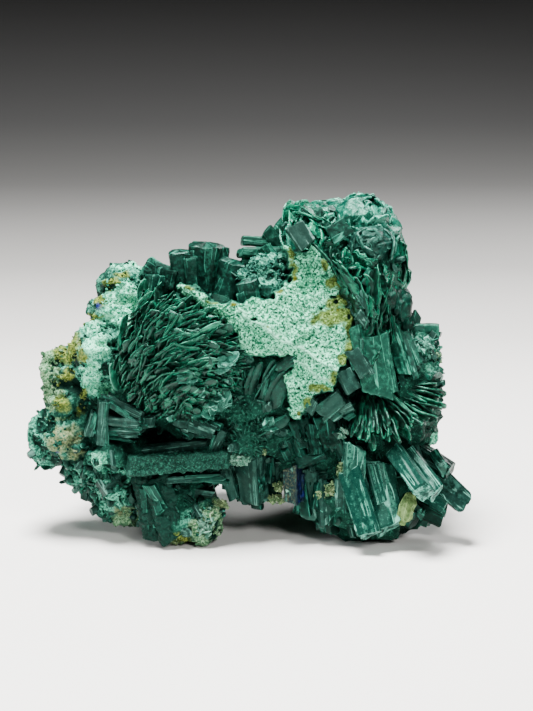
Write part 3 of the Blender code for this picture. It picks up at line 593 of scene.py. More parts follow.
def axes_of(foot, tip, roll, facing):
    """Unit directions of each crystal: across its width, along it, and through its thickness.

    The last one starts at facing, made square to the length, and is then turned round the length by roll.
    """
    along = tip - foot
    along = along / np.linalg.norm(along, axis=-1, keepdims=True)
    facing = np.broadcast_to(facing, along.shape)
    through = facing - along * (facing * along).sum(-1, keepdims=True)
    through = through / np.maximum(np.linalg.norm(through, axis=-1, keepdims=True), 1e-6)
    turn = np.radians(np.asarray(roll, float))[..., None]
    through = through * np.cos(turn) + np.cross(along, through) * np.sin(turn)
    return np.cross(along, through), along, through


def shells(name, points, rings, around, values, sharp=180):
    """One object from many closed shells: rings of points from foot to tip, and one last point at each end.

    points is crystal by point by coordinate; the two end points come last in each crystal.
    """
    each = rings * around + 2
    quads = faces_of_grid(rings, around, closed=True)
    near, last = np.arange(around), (rings - 1) * around
    foot_fan = np.stack([(near + 1) % around, near, np.full(around, each - 2)], axis=-1)
    tip_fan = np.stack([near + last, (near + 1) % around + last, np.full(around, each - 1)], axis=-1)
    start = (np.arange(len(points)) * each)[:, None, None]
    all_quads = (quads[None] + start).reshape(-1, 4)
    all_fans = (np.concatenate([foot_fan, tip_fan])[None] + start).reshape(-1, 3)
    flat = {key: np.broadcast_to(numbers, points.shape[:2]).reshape(-1) for key, numbers in values.items()}
    item = put(name, inside_box(points.reshape(-1, 3)), all_quads, all_fans, flat, sharp)
    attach(item, "root")
    return item


def blades(name, foot, tip, width, thick, roll, seed, facing=(0, -1, 0.2), sag=None, around=8, rings=9,
           point=2.0, ragged=0.10, crumple=0.05, sharp=180):
    """Thin curved blades: a lens section carried along a bent line, its width following a rounded outline.

    Width is the outline (1 - |2t - 1|^point)^(1/point), its edge broken by noise; the middle line bends by sag
    times the square of the distance from its middle, and the blade is a little cupped across.
    """
    draw = np.random.default_rng(seed)
    count = len(foot)
    broad, along, through = (axis[:, None, None, :] for axis in axes_of(foot, tip, roll, np.asarray(facing, float)))
    long = np.linalg.norm(tip - foot, axis=-1)[:, None, None]
    turn = (np.arange(around) / around * 2 * math.pi)[None, None, :]
    t = (0.5 - 0.5 * np.cos(np.linspace(0.12, math.pi - 0.12, rings)))[None, :, None]
    outline = (1 - np.abs(2 * t - 1) ** point) ** (1 / point)
    tone = draw.uniform(0, 1, (count, 1, 1))
    place = np.stack(np.broadcast_arrays(np.cos(turn) * 1.3, t * 6.0, tone * 97.0), -1)
    outline = outline * (1 + ragged * noise(place, 1.0, seed) * 2)
    x = np.cos(turn) * outline * np.asarray(width).reshape(-1, 1, 1) / 2
    z = np.sin(turn) * np.sqrt(outline) * np.asarray(thick).reshape(-1, 1, 1) / 2
    sag = draw.uniform(-0.10, 0.10, count) if sag is None else np.broadcast_to(sag, (count,))
    cup = draw.uniform(-0.10, 0.14, (count, 1, 1))
    z = z - sag[:, None, None] * long * (2 * t - 1) ** 2 + cup * x * x / np.maximum(np.asarray(width).reshape(-1, 1, 1), 1)
    z = z + crumple * noise(place * [1, 1.4, 1], 0.5, seed + 3)
    middle = ((foot + tip) / 2)[:, None, None, :]
    grid = middle + broad * x[..., None] + along * ((t - 0.5) * long)[..., None] + through * z[..., None]
    ends = np.stack([middle[:, 0, 0] + (s * long[:, 0] * along[:, 0, 0]) - through[:, 0, 0] * (sag[:, None] * long[:, 0])
                     for s in (-0.5, 0.5)], axis=1)
    points = np.concatenate([grid.reshape(count, -1, 3), ends], axis=1)
    rim = np.maximum(np.abs(np.cos(turn)) ** 3, np.abs(2 * t - 1) ** 5) * np.ones((count, 1, 1))
    stripe = lattice(np.floor(np.stack(np.broadcast_arrays(np.cos(turn) * 6 + 9, t * 0.0, tone * 997), -1)).astype(np.int64), seed)
    pad = lambda field, end: np.concatenate([np.broadcast_to(field, grid.shape[:3]).reshape(count, -1), np.full((count, 2), end)], 1)
    # Painted shade: each blade's tone darkens towards its foot, most at the foot's end, where it sinks under its
    # neighbours.
    shade = np.broadcast_to(tone * (0.25 + 0.75 * t), grid.shape[:3]).reshape(count, -1)
    tones = np.concatenate([shade, tone[:, :, 0] * 0.25, tone[:, :, 0]], 1)
    return shells(name, points, rings, around, {"edge": pad(rim, 1.0), "stripe": pad(stripe, 0.5), "tone": tones}, sharp)


def green_look(dark, mid, bright, edge, gloss=0.42, edge_from=0.85, bump=0.35, fibre=True, mottle=0.4, velvet=0.0,
               clouds=0.40):
    """Malachite after azurite: two greens by crystal, fibre streaks painted lighter as a silky sheen, faint mottling,
    edges paler from wear and from a painted rim highlight, and tiny painted glints.

    mottle is how far the clouds on the faces go towards bright, and velvet how many tiny bright grains there are,
    painted as glints.
    """
    def recipe(wire):
        broad, fine, dust = spotted(wire, 420, 4), spotted(wire, 1300, 5, 0.7), spotted(wire, 3600, 4, 0.65)
        tone, stripe = attribute(wire, "tone"), attribute(wire, "stripe")
        cloud = tone * 0.55 + broad.step(0.36, 0.64) * clouds + fine.step(0.36, 0.64) * clouds
        colour = (cloud - 0.18).step(0.05, 0.95).over(dark, mid)
        if fibre:
            # Fibre streaks and thin lines in them, painted lighter: real fibres with a painted silky sheen.
            colour = ((stripe * fine.step(0.15, 0.60)).step(0.46, 0.90) * 0.75).over(colour, bright)
            colour = (stripe.step(0.605, 0.635) * (1 - stripe.step(0.65, 0.68)) * broad.step(0.42, 0.56)).over(colour, edge)
        colour = (fine.step(0.50, 0.72) * (tone * 0.6 + 0.4) * mottle).over(colour, bright)
        # Paler edges: partly wear, partly a painted rim highlight.
        worn_and_highlit_edge = attribute(wire, "edge").step(edge_from, 1.0) * fine.step(0.40, 0.62)
        colour = worn_and_highlit_edge.over(colour, edge)
        # Tiny bright specks: painted glints, more of them on velvet.
        if velvet:
            colour = (dust.step(0.50, 0.66) * velvet).over(colour, bright)
        else:
            colour = (dust.step(0.56, 0.68) * fine.step(0.42, 0.60) * 0.8).over(colour, bright)
        return {"Base Color": colour, "Roughness": fine * 0.35 + (gloss - 0.12),
                "Normal": bumped(wire, fine + dust * 0.6, bump, 0.0002)}
    return recipe


def heading(across, up):
    """The way the rosette's blades run: away from a point at the lower left, and steeper in the bottom fringe."""
    turn = np.arctan2(up - 20.0, across + 23.0) - math.radians(10)
    fringe = np.clip((27.5 - up) / 2.5, 0, 1) * np.clip((-8.5 - across) / 2.0, 0, 1)
    return turn * (1 - fringe) + math.radians(58) * fringe


def dark_rosette():
    draw = np.random.default_rng(41)
    spot = draw.uniform(-1, 1, (ROSETTE_BLADES * 2, 2))
    side, rise = spot[:, 0] * ROSETTE_HALF[0], spot[:, 1] * ROSETTE_HALF[1]
    bounded = (rise < 7.5 - 0.55 * side) & (side > 0.45 * rise - 9.4)
    spot = spot[((spot ** 2).sum(1) < 1) & bounded][:ROSETTE_BLADES]
    across = ROSETTE_MIDDLE[0] + ROSETTE_HALF[0] * spot[:, 0]
    up = ROSETTE_MIDDLE[1] + ROSETTE_HALF[1] * spot[:, 1]
    count = len(across)
    turn = heading(across, up) + draw.normal(0, 0.27, count)
    bulge = np.sqrt(1 - (spot ** 2).sum(1))
    depth = ROSETTE_FACE - ROSETTE_BULGE * bulge + draw.uniform(-0.9, 1.3, count)
    fringe = np.clip((27.5 - up) / 2.5, 0, 1)
    grown = 0.48 + 0.62 * np.clip((across + 19.5) / 9 + (up - 30) / 14, 0, 1)
    long = draw.uniform(*BLADE_LONG, count) * (1 - 0.35 * fringe) * (0.75 + 0.35 * bulge) * (0.4 + 0.6 * grown)
    reach = np.stack([np.cos(turn), np.sin(turn)], -1) * long[:, None] / 2
    foot = seen(across - reach[:, 0], up - reach[:, 1], depth + 0.9)
    tip = seen(across + reach[:, 0], up + reach[:, 1], depth - 0.5)
    return blades("dark_rosette", foot, tip, draw.uniform(*BLADE_WIDE, count) * grown,
                  draw.uniform(*BLADE_THICK, count) * grown, draw.uniform(24, 84, count), seed=3, around=6, rings=9,
                  point=1.7, ragged=0.22)


def split(rows):
    """Rows of foot and tip as seen, their depths, width, thickness and roll, as arrays of points and sizes."""
    table = np.array(rows, float)
    foot = seen(table[:, 0], table[:, 1], table[:, 4])
    tip = seen(table[:, 2], table[:, 3], table[:, 5])
    return foot, tip, table[:, 6], table[:, 7], table[:, 8]


# Four greens each: in the painted shade of a crystal, on its faces, in its streaks with their painted silky sheen,
# and along its edges, partly worn and partly a painted rim highlight.
BLADE_GREENS = (0.0001, 0.0013, 0.0008), (0.0014, 0.0095, 0.0065), (0.0042, 0.100, 0.052), (0.015, 0.25, 0.140)
DARK_GREENS = (0.0002, 0.0032, 0.0021), (0.0012, 0.017, 0.0115), (0.007, 0.080, 0.051), (0.03, 0.19, 0.13)
DEEP_GREENS = (0.0001, 0.0018, 0.0012), (0.0007, 0.0095, 0.0065), (0.004, 0.050, 0.033), (0.02, 0.14, 0.10)
VELVET_GREENS = (0.0004, 0.0075, 0.0047), (0.0024, 0.032, 0.020), (0.014, 0.135, 0.084), (0.05, 0.26, 0.175)
# GREY_GREENS paint the grey sheen of soft light on tilted faces: a painted reflection.
GREY_GREENS = (0.0012, 0.0060, 0.0047), (0.0042, 0.020, 0.0155), (0.022, 0.080, 0.062), (0.08, 0.21, 0.165)
GLASSY_GREENS = (0.0018, 0.020, 0.0145), (0.0085, 0.043, 0.030), (0.032, 0.175, 0.120), (0.12, 0.38, 0.29)
painted(dark_rosette(), "dark blades", green_look(*BLADE_GREENS, gloss=0.28, mottle=0.5, edge_from=0.75), shine=0.38)
bright_blades = blades("bright_blades", *split(BRIGHT_BLADES), seed=7, around=16, rings=20, point=2.0)
painted(bright_blades, "bright blades", green_look((0.002, 0.030, 0.016), (0.006, 0.085, 0.046), (0.020, 0.19, 0.11),
                                                   (0.08, 0.36, 0.24), gloss=0.3), shine=0.35)


# The blocks on the left shoulder and the stepped tablets beside them: thick crystals of azurite that turned
# to malachite, with blunt rounded ends, faint streaks along them and a velvety skin.
TOP_BLOCKS = [
    (-10.7, 40.6, -11.4, 47.6, -1.9, -1.6, 3.0, 4.2, 4), (-7.6, 40.2, -6.9, 48.9, -0.5, 0.0, 4.4, 4.6, -6),
    (-4.8, 38.2, -1.9, 45.9, -1.0, -0.4, 4.4, 4.0, -12), (-12.0, 42.0, -17.0, 45.2, -1.5, -1.0, 3.2, 3.2, 0),
    (-14.0, 41.0, -13.5, 44.6, -4.0, -3.5, 3.0, 3.0, 20), (-9.2, 40.8, -9.6, 46.6, -3.6, -3.4, 1.8, 2.0, 10),
    (0.6, 38.6, -0.4, 42.4, -9.6, -9.4, 3.2, 2.0, 14), (-15.4, 40.0, -15.2, 43.4, -5.6, -5.2, 2.6, 2.4, 30),
    (3.0, 39.6, 3.6, 41.4, -9.4, -9.2, 2.0, 1.6, -20), (-5.0, 44.0, -5.2, 48.4, 0.6, 0.9, 2.6, 3.4, 24),
]
STEPPED = [
    (2.6, 49.0, -1.1, 49.2, 0.2, -0.2, 1.6, 4.0, 0), (4.6, 47.2, -1.5, 47.2, -0.6, -1.0, 1.8, 4.4, 4),
    (2.0, 45.5, -1.0, 45.7, 0.2, -0.4, 1.4, 3.6, -6), (4.8, 48.4, 2.8, 50.6, 0.0, -0.4, 2.8, 3.2, 20),
    (6.6, 49.8, 4.6, 51.8, 0.6, 0.2, 2.8, 3.4, -16), (8.0, 51.4, 6.4, 53.4, 1.0, 0.8, 2.6, 3.4, 10),
    (3.6, 46.4, 2.4, 48.2, -2.6, -2.8, 2.2, 2.4, 30),
]


def prisms(name, foot, tip, width, thick, roll, seed, facing=(0, -1, 0.2), around=40, rings=30, chamfer=1.84,
           streaks=0.05, pits=0.035, slope=0.40, taper=0.10, blunt=0.12, bevel=0.0):
    """Long crystals: a rectangle with cut corners carried along a line, closed by sloping ends.

    The section is two triangle waves a quarter turn apart, multiplied by chamfer and cut off at 1. Streaks run
    along the faces, ledges step across them, and fine noise roughens the whole skin.
    """
    draw = np.random.default_rng(seed)
    count = len(foot)
    broad, along, through = (axis[:, None, None, :] for axis in axes_of(foot, tip, roll, np.asarray(facing, float)))
    long = np.linalg.norm(tip - foot, axis=-1)[:, None, None]
    half_wide, half_thick = (np.asarray(size, float).reshape(-1, 1, 1) / 2 for size in (width, thick))
    s = ((np.arange(around) + 0.5) / around)[None, None, :]
    wave = lambda u: 4 * np.abs(u - np.floor(u + 0.5)) - 1
    section_x, section_z = np.clip(chamfer * wave(s + 0.25), -1, 1), np.clip(chamfer * wave(s), -1, 1)
    start = np.array([0.0, 0.22, 0.55]) * bevel
    t = np.concatenate([start, np.linspace(max(bevel, 0.02), 1 - max(bevel, 0.02), rings - 6), 1 - start[::-1]])
    t = t[None, :, None]
    inset = np.concatenate([[3.0, 1.2, 0.35], np.zeros(rings - 6), [0.35, 1.2, 3.0]])[None, :, None]
    inset = inset * blunt * np.minimum(half_wide, half_thick)
    narrow = 1 - taper * draw.uniform(0.3, 1.4, (count, 1, 1)) * t
    x = section_x * np.maximum(half_wide * narrow - inset, 0.05)
    z = section_z * np.maximum(half_thick * narrow - inset, 0.05)
    tone = draw.uniform(0, 1, (count, 1, 1))
    ledge = np.stack(np.broadcast_arrays(s * 11.0, t * long * 0.07, tone * 71.0), -1)
    streak = np.stack(np.broadcast_arrays(s * 34.0, t * long * 0.16, tone * 131.0), -1)
    step = np.clip(noise(ledge, 1.0, seed) * 5, -0.5, 0.5) * 0.10 * np.minimum(half_wide, half_thick)
    lift = step + streaks * noise(streak, 1.0, seed + 1)
    size = np.sqrt(x * x + z * z) + 1e-6
    x, z = x + x / size * lift, z + z / size * lift
    ends = draw.uniform(-slope, slope, (count, 1, 1, 4))
    broken = noise(np.stack(np.broadcast_arrays(x * 0.9, z * 0.9, tone * 57.0), -1), 1.0, seed + 7)
    y = (t - 0.5) * long + (t ** 4 - (1 - t) ** 4) * 0.22 * broken * half_wide
    y = y + t ** 6 * (ends[..., 0] * x + ends[..., 1] * z) - (1 - t) ** 6 * (ends[..., 2] * x + ends[..., 3] * z)
    middle = ((foot + tip) / 2)[:, None, None, :]
    grid = middle + broad * x[..., None] + along * y[..., None] + through * z[..., None]
    outwards = broad * (x / size)[..., None] + through * (z / size)[..., None]
    grid = grid + outwards * (pits * rough(grid, 0.7, seed + 2, 3))[..., None]
    poles = np.stack([grid[:, 0].mean(axis=1), grid[:, -1].mean(axis=1)], axis=1)
    points = np.concatenate([grid.reshape(count, -1, 3), poles], axis=1)
    corner = np.clip(1 - np.abs(np.abs(section_x) - np.abs(section_z)) * 4.5, 0, 1)
    rim = np.maximum(corner, np.clip((np.abs(2 * t - 1) - 0.93) / 0.07, 0, 1) * 0.9) * np.ones((count, 1, 1))
    fill = lambda field, end: np.concatenate(
        [np.broadcast_to(field, grid.shape[:3]).reshape(count, -1), np.broadcast_to(end, (count, 2))], 1)
    values = {"edge": fill(rim, 0.5), "tone": fill(tone, tone[:, :, 0]), "stripe": fill(0.5 + 0.5 * noise(streak, 1.0, seed + 5), 0.5)}
    return shells(name, points, rings, around, values, sharp=32)


def beside(rows, count, seed, size=(0.28, 0.62), spread=0.55):
    """Smaller crystals beside each row's, nearly parallel to it: moved sideways, along and towards the front."""
    draw = np.random.default_rng(seed)
    foot, tip, width, thick, roll = (np.repeat(column, count, axis=0) for column in split(rows))
    total = len(foot)
    broad, along, through = axes_of(foot, tip, roll, np.array([0, -1, 0.2]))
    long = np.linalg.norm(tip - foot, axis=1)
    move = (broad * (width * draw.uniform(-spread, spread, total))[:, None]
            + through * (thick * draw.uniform(-0.30, 0.52, total))[:, None]
            + along * (long * draw.uniform(-0.30, 0.34, total))[:, None])
    shorter = draw.uniform(0.35, 0.85, total)[:, None]
    middle, half = (foot + tip) / 2 + move, (tip - foot) / 2 * shorter
    half = half + draw.normal(0, 0.09, (total, 3)) * long[:, None] / 2
    smaller = draw.uniform(*size, total)
    return (middle - half, middle + half, width * smaller, thick * smaller * draw.uniform(0.6, 1.1, total),
            roll + draw.uniform(-30, 30, total))


def small_prisms(name, rows, count, seed, **how):
    return prisms(name, *beside(rows, count, seed), seed=seed, around=12, rings=10, streaks=0.03, pits=0.02, **how)


top_blocks = prisms("top_blocks", *split(TOP_BLOCKS), seed=11, around=40, rings=26, chamfer=1.8, taper=-0.28, blunt=0.34,
                    slope=0.05, bevel=0.07, pits=0.09, streaks=0.02)
painted(top_blocks, "dark blocks", green_look(*DARK_GREENS, gloss=0.36, mottle=0.9, edge_from=0.93), shine=0.3)
beside_blocks = small_prisms("beside_blocks", TOP_BLOCKS[3:8], 3, 71)
painted(beside_blocks, "beside blocks", green_look(*DARK_GREENS, gloss=0.42))
stepped = prisms("stepped_tablets", *split(STEPPED), seed=12, around=36, rings=24, chamfer=1.78, blunt=0.3, bevel=0.04, pits=0.07)
painted(stepped, "stepped tablets", green_look(*VELVET_GREENS, gloss=0.42))


# The dome on the top right: a rosette of curved plates, close together like the leaves of a cabbage. Each of
# its lobes is a set of plates that stand on edge around one axis, dark green with painted shade towards each
# plate's foot, and mint along their rims, partly as a painted rim highlight.
DOME_LOBES = [
    ((11.4, 49.4, -0.5), (5.0, 6.8, 5.6), (-0.45, -0.85, 0.35), 60, (3.4, 6.0), 4),
    ((19.0, 44.4, -1.0), (5.4, 8.8, 6.8), (-0.35, -0.90, 0.30), 170, (1.8, 4.2), 6),
    ((22.4, 42.8, 0.5), (3.2, 7.4, 6.8), (0.70, -0.70, 0.25), 60, (3.0, 5.0), 7),
    ((16.2, 44.0, 3.0), (7.8, 7.8, 10.4), (0.10, 0.95, 0.20), 84, (4.4, 7.4), 8),
    ((9.4, 43.6, 1.0), (4.6, 7.4, 5.4), (-0.90, 0.10, 0.20), 36, (3.4, 5.8), 9),
]
PALE_PETALS = [((18.8, 50.6, 0.2), (5.6, 6.9, 5.8), (0.30, -0.65, 0.80), 84, (1.8, 3.8), 5)]
DOME_FACETS = [(13.2, 49.5, 16.0, 51.3, -9.6, -9.0, 3.1, 1.6, 6), (19.0, 41.4, 20.6, 43.6, -10.6, -10.4, 2.6, 1.6, 20)]
RHOMB = [(9.6, 47.9, 7.4, 51.1, -11.2, -10.4, 3.1, 2.6, 4)]
GLASSY_LOBES = [(11.4, 51.2, -1.0, 4.3, 5.6, 4.2), (23.0, 46.0, -1.0, 2.7, 5.6, 4.8), (8.2, 49.6, -0.5, 2.8, 4.6, 3.4)]
PALE_LOBES = [(17.6, 52.0, -0.5, 3.7, 5.2, 4.4), (21.2, 50.2, 0.0, 3.7, 5.6, 4.6), (15.0, 53.0, 1.0, 2.6, 4.0, 2.8)]
GREY_LOBE = [(19.9, 48.2, -5.8, 3.7, 3.1, 2.7)]


def wrinkled(name, rows, seed, crests=(0.55, 0.20), around=84, rings=50, squeeze=(1, 1, 1)):
    """Ovals whose skin is folded into sharp crests at two sizes, as where many plates have grown into one.

    squeeze packs the crests more closely across, inwards and up, so that they run the other way.
    """
    table = np.array(rows, float)
    turn = np.linspace(0, 2 * math.pi, around, endpoint=False)
    fall = np.linspace(0.05, math.pi - 0.05, rings)[:, None]
    ball = np.stack([np.sin(fall) * np.cos(turn), -np.cos(fall) * np.ones(around), np.sin(fall) * np.sin(turn)], -1)
    ball = np.concatenate([ball.reshape(-1, 3), [[0, -1, 0], [0, 1, 0]]])[None]
    middle, radii = seen(table[:, 0], table[:, 1], table[:, 2])[:, None], table[:, None, 3:6]
    grid = middle + ball * radii
    outwards = ball / radii
    outwards = outwards / np.linalg.norm(outwards, axis=-1, keepdims=True)
    large = np.clip(1 - 3 * np.abs(noise(grid * squeeze, 2.9, seed)), -1.6, 1)
    small = np.clip(1 - 3 * np.abs(noise(grid * squeeze, 1.3, seed + 1)), -1.4, 1)
    lift = crests[0] * large + crests[1] * small + 0.45 * noise(grid, 4.0, seed + 2)
    values = {"edge": np.clip(0.55 * large + 0.45 * small, 0, 1), "stripe": np.full(lift.shape, 0.5),
              "tone": 0.5 + 0.5 * noise(grid, 1.7, seed + 4)}
    return shells(name, grid + outwards * lift[..., None], rings, around, values, sharp=32)


def petals(name, lobes, lean=(6, 56), thick=(0.30, 0.8), width=(0.55, 1.0)):
    """Plates on an oval, at even steps of a spiral: each leans from lying flat on it towards standing on edge.

    A plate's face points along out times cos(lean) plus sin(lean) times the way back to the lobe's heart, so
    that neighbours overlap, and its length runs round the heart.
    """
    feet, tips, facings, sags, longs = [], [], [], [], []
    draw = np.random.default_rng(17)
    for middle, radii, axis, count, size, seed in lobes:
        axis = np.array(axis) / np.linalg.norm(axis)
        index = np.arange(count * 2) + 0.5
        height = 1 - index / count
        turn = index * math.pi * (3 - math.sqrt(5)) + seed
        ring = np.sqrt(1 - height ** 2)
        out = np.stack([ring * np.cos(turn), ring * np.sin(turn), height], -1)
        out = out[out @ axis > -0.2]
        heart = axis - (out @ axis)[:, None] * out + 0.22 * draw.normal(0, 1, out.shape)
        heart /= np.linalg.norm(heart, axis=1, keepdims=True)
        along = np.cross(out, heart) + 0.28 * draw.normal(0, 1, out.shape)
        along /= np.linalg.norm(along, axis=1, keepdims=True)
        angle = np.radians(draw.uniform(*lean, (len(out), 1)))
        long = draw.uniform(*size, (len(out), 1))
        place = seen(*middle) + out * (np.array(radii) * draw.uniform(0.84, 1.0, (len(out), 1)))
        feet.append(place - along * long / 2)
        tips.append(place + along * long / 2)
        facings.append(out * np.cos(angle) - heart * np.sin(angle))
        sags.append(draw.uniform(0.02, 0.24, len(out)))
        longs.append(long[:, 0])
    feet, tips = np.concatenate(feet), np.concatenate(tips)
    count = len(feet)
    return blades(name, feet, tips, draw.uniform(*width, count) * np.concatenate(longs), draw.uniform(*thick, count),
                  draw.uniform(-8, 8, count), seed=19, facing=np.concatenate(facings), sag=np.concatenate(sags),
                  around=8, rings=9, point=2.8, ragged=0.24, crumple=0.16)


dome = petals("dome_plates", DOME_LOBES)
painted(dome, "dome plates", green_look((0.0003, 0.009, 0.0050), (0.0018, 0.062, 0.033), (0.008, 0.22, 0.118),
                                        (0.050, 0.37, 0.24), gloss=0.20, edge_from=0.86), shine=0.38)
dome_facets = prisms("dome_facets", *split(DOME_FACETS), seed=18, around=36, rings=26, pits=0.07, chamfer=1.95, slope=0.06, taper=0.02,
                     blunt=0.05)
rhomb = prisms("rhomb", *split(RHOMB), seed=19, around=36, rings=26, chamfer=1.96, slope=0.04, taper=0.0, blunt=0.04,
               pits=0.02)
# The rhomb's grey is painted reflection: the sheen of soft light on a face tilted towards it.
painted(rhomb, "grey rhomb", green_look((0.0015, 0.0060, 0.0047), (0.0048, 0.0155, 0.0125), (0.022, 0.058, 0.047),
                                        (0.09, 0.20, 0.165), gloss=0.34, bump=0.3), shine=0.25)
painted(dome_facets, "dome facets", green_look(*DARK_GREENS, gloss=0.26, bump=0.5, mottle=1.0), shine=0.3)
pale_petals = petals("pale_petals", PALE_PETALS)
painted(pale_petals, "pale petals", green_look((0.0014, 0.028, 0.018), (0.007, 0.090, 0.058), (0.024, 0.23, 0.155),
                                               (0.10, 0.44, 0.32), gloss=0.20, edge_from=0.8), shine=0.45)
glassy_lobes = wrinkled("glassy_lobes", GLASSY_LOBES, 210)
painted(glassy_lobes, "glassy lobes", green_look((0.0006, 0.013, 0.008), (0.004, 0.075, 0.046), (0.014, 0.22, 0.135),
                                                 (0.07, 0.40, 0.28), gloss=0.18, edge_from=0.50, bump=0.6), shine=0.5)
grey_petals = petals("grey_petals", [((19.9, 48.2, -5.6), (3.9, 3.3, 3.0), (0.1, -0.95, 0.3), 18, (2.2, 4.2), 7)],
                     lean=(4, 30))
# Their grey is painted reflection: the sheen of soft light on these dome faces.
painted(grey_petals, "grey petals", green_look((0.0010, 0.0075, 0.0056), (0.0048, 0.026, 0.0195), (0.018, 0.105, 0.075),
                                               (0.07, 0.27, 0.20), gloss=0.28, edge_from=0.7, bump=0.5), shine=0.3)
pale_lobes = wrinkled("pale_lobes", PALE_LOBES, 220)
painted(pale_lobes, "pale lobes", green_look((0.0012, 0.026, 0.017), (0.006, 0.080, 0.052), (0.022, 0.20, 0.135),
                                             (0.08, 0.38, 0.27), gloss=0.18, edge_from=0.58, bump=0.6), shine=0.5)
grey_lobe = wrinkled("grey_lobe", GREY_LOBE, 230, crests=(0.24, 0.22), squeeze=(1.3, 1.2, 2.6))
# Its grey is painted reflection: the sheen of soft light on this face.
painted(grey_lobe, "grey lobe", green_look((0.0012, 0.010, 0.0075), (0.006, 0.036, 0.027), (0.022, 0.125, 0.090),
                                           (0.06, 0.24, 0.18), gloss=0.36, edge_from=0.6, bump=0.8, mottle=0.4), shine=0.2)


# The right side below the dome: upright lamellae, a smooth dark lobe, and large dark tablets that hang
# down and to the right, with blocks and rough crystals on the right edge.
LAMELLAE = [
    (17.6, 43.0, 18.6, 34.4, -11.4, -12.4, 3.0, 0.7, 48), (19.2, 43.4, 19.4, 33.4, -10.6, -12.2, 3.4, 0.7, 40),
    (20.8, 43.6, 20.6, 32.4, -9.8, -11.8, 3.2, 0.7, 52), (22.2, 41.6, 21.4, 33.0, -8.8, -11.0, 3.0, 0.7, 36),
    (18.4, 41.0, 20.0, 35.0, -12.0, -12.8, 2.2, 0.5, 64), (21.4, 40.6, 20.2, 34.2, -10.8, -12.2, 2.4, 0.5, 60),
    (16.6, 40.6, 18.4, 36.0, -11.8, -12.8, 2.0, 0.5, 44), (22.4, 34.6, 19.2, 27.4, -12.8, -13.8, 1.2, 0.4, 66),
    (10.6, 48.6, 17.4, 40.2, -10.5, -12.0, 1.6, 0.6, 80), (24.6, 49.5, 24.6, 43.0, -3.4, -3.8, 3.0, 0.9, 60),
    (13.4, 45.6, 17.0, 41.4, -11.2, -12.2, 1.6, 0.5, 70),
    (14.6, 44.4, 18.0, 39.0, -11.4, -12.4, 2.4, 0.6, 40), (19.8, 38.4, 21.2, 32.2, -11.8, -13.0, 2.0, 0.4, 74),
]
SMOOTH_LOBE = [(24.2, 38.4, -5.4, 2.5, 4.9, 3.0), (22.4, 39.6, -7.6, 2.0, 4.4, 2.4), (25.2, 35.4, -4.6, 1.8, 2.6, 2.6)]
RIGHT_TABLETS = [
    (20.0, 33.4, 21.0, 24.0, -12.2, -13.6, 5.4, 2.4, 4), (21.6, 33.6, 23.5, 24.3, -12.6, -14.2, 1.5, 1.5, -16),
    (23.2, 35.0, 25.6, 27.4, -9.0, -11.8, 2.4, 2.6, 18), (25.2, 33.8, 27.4, 28.4, -7.0, -9.5, 2.2, 2.6, -10),
    (25.6, 34.2, 31.0, 34.3, -2.5, -3.0, 2.6, 4.2, 0), (26.4, 27.6, 31.0, 26.4, -6.5, -8.0, 2.4, 3.0, -14),
    (17.4, 34.6, 18.4, 28.4, -12.8, -13.8, 2.0, 2.0, 30), (26.0, 31.2, 29.6, 30.2, -6.0, -7.0, 3.0, 3.0, 16),
]
GREY_TABLETS = [
    (18.4, 39.6, 18.6, 34.6, -11.5, -12.0, 2.4, 2.2, 25), (16.8, 31.2, 19.2, 27.0, -13.5, -14.5, 2.7, 1.8, 12),
    (15.2, 28.2, 17.0, 24.6, -13.5, -14.0, 2.8, 1.8, -12), (12.0, 21.0, 15.2, 23.8, -12.0, -12.6, 3.0, 2.0, 8),
    (17.6, 37.2, 19.0, 35.4, -12.8, -12.8, 1.6, 1.4, 10), (17.8, 40.2, 19.2, 38.0, -12.2, -12.4, 1.8, 1.4, -14),
    (9.8, 21.2, 10.8, 23.2, -13.0, -13.2, 1.6, 1.6, 10), (13.4, 20.4, 16.8, 22.2, -11.4, -12.2, 2.2, 2.0, 20),
]
foot, tip, width, thick, roll = beside(LAMELLAE, 4, 76, size=(0.5, 0.9), spread=0.7)
width, thick, roll = (np.concatenate(pair) for pair in zip(split(LAMELLAE)[2:], (width, thick * 0.8, roll)))
foot, tip = np.concatenate([split(LAMELLAE)[0], foot]), np.concatenate([split(LAMELLAE)[1], tip])
lamellae = blades("lamellae", foot, tip, width, thick, roll, seed=23, around=10, rings=14, point=2.6, ragged=0.26,
                  crumple=0.2)
painted(lamellae, "lamellae", green_look(*BLADE_GREENS, gloss=0.26), shine=0.38)
smooth_lobe = wrinkled("smooth_lobe", SMOOTH_LOBE, 240, crests=(0.30, 0.16), around=64, rings=34, squeeze=(2.4, 2.4, 0.6))
painted(smooth_lobe, "smooth lobe", green_look(*DARK_GREENS, gloss=0.36, mottle=0.9, edge_from=0.7, bump=0.6), shine=0.15)
right_tablets = prisms("right_tablets", *split(RIGHT_TABLETS), seed=24, around=44, rings=32, pits=0.05)
painted(right_tablets, "dark tablets", green_look(*VELVET_GREENS, gloss=0.28, mottle=0.8, bump=0.4), shine=0.3)
beside_tablets = small_prisms("beside_tablets", RIGHT_TABLETS[2:] + GREY_TABLETS, 2, 72)
painted(beside_tablets, "beside tablets", green_look(*DARK_GREENS, gloss=0.36), shine=0.3)
grey_tablets = prisms("grey_tablets", *split(GREY_TABLETS), seed=25, around=36, rings=22, chamfer=1.78)
painted(grey_tablets, "grey tablets", green_look(*GREY_GREENS, gloss=0.40, mottle=0.3), shine=0.3)


# The fan on the right: long thin blades that spread from one point under the dark tablets, from straight
# down to straight right, in a few layers, with serrated mint edges.
FAN_HEART = (19.0, 26.0, -7.0)
FAN_LAYERS = [(-12.5, 7.4, 30), (-14.6, 9.4, 36), (-16.4, 10.6, 36)]


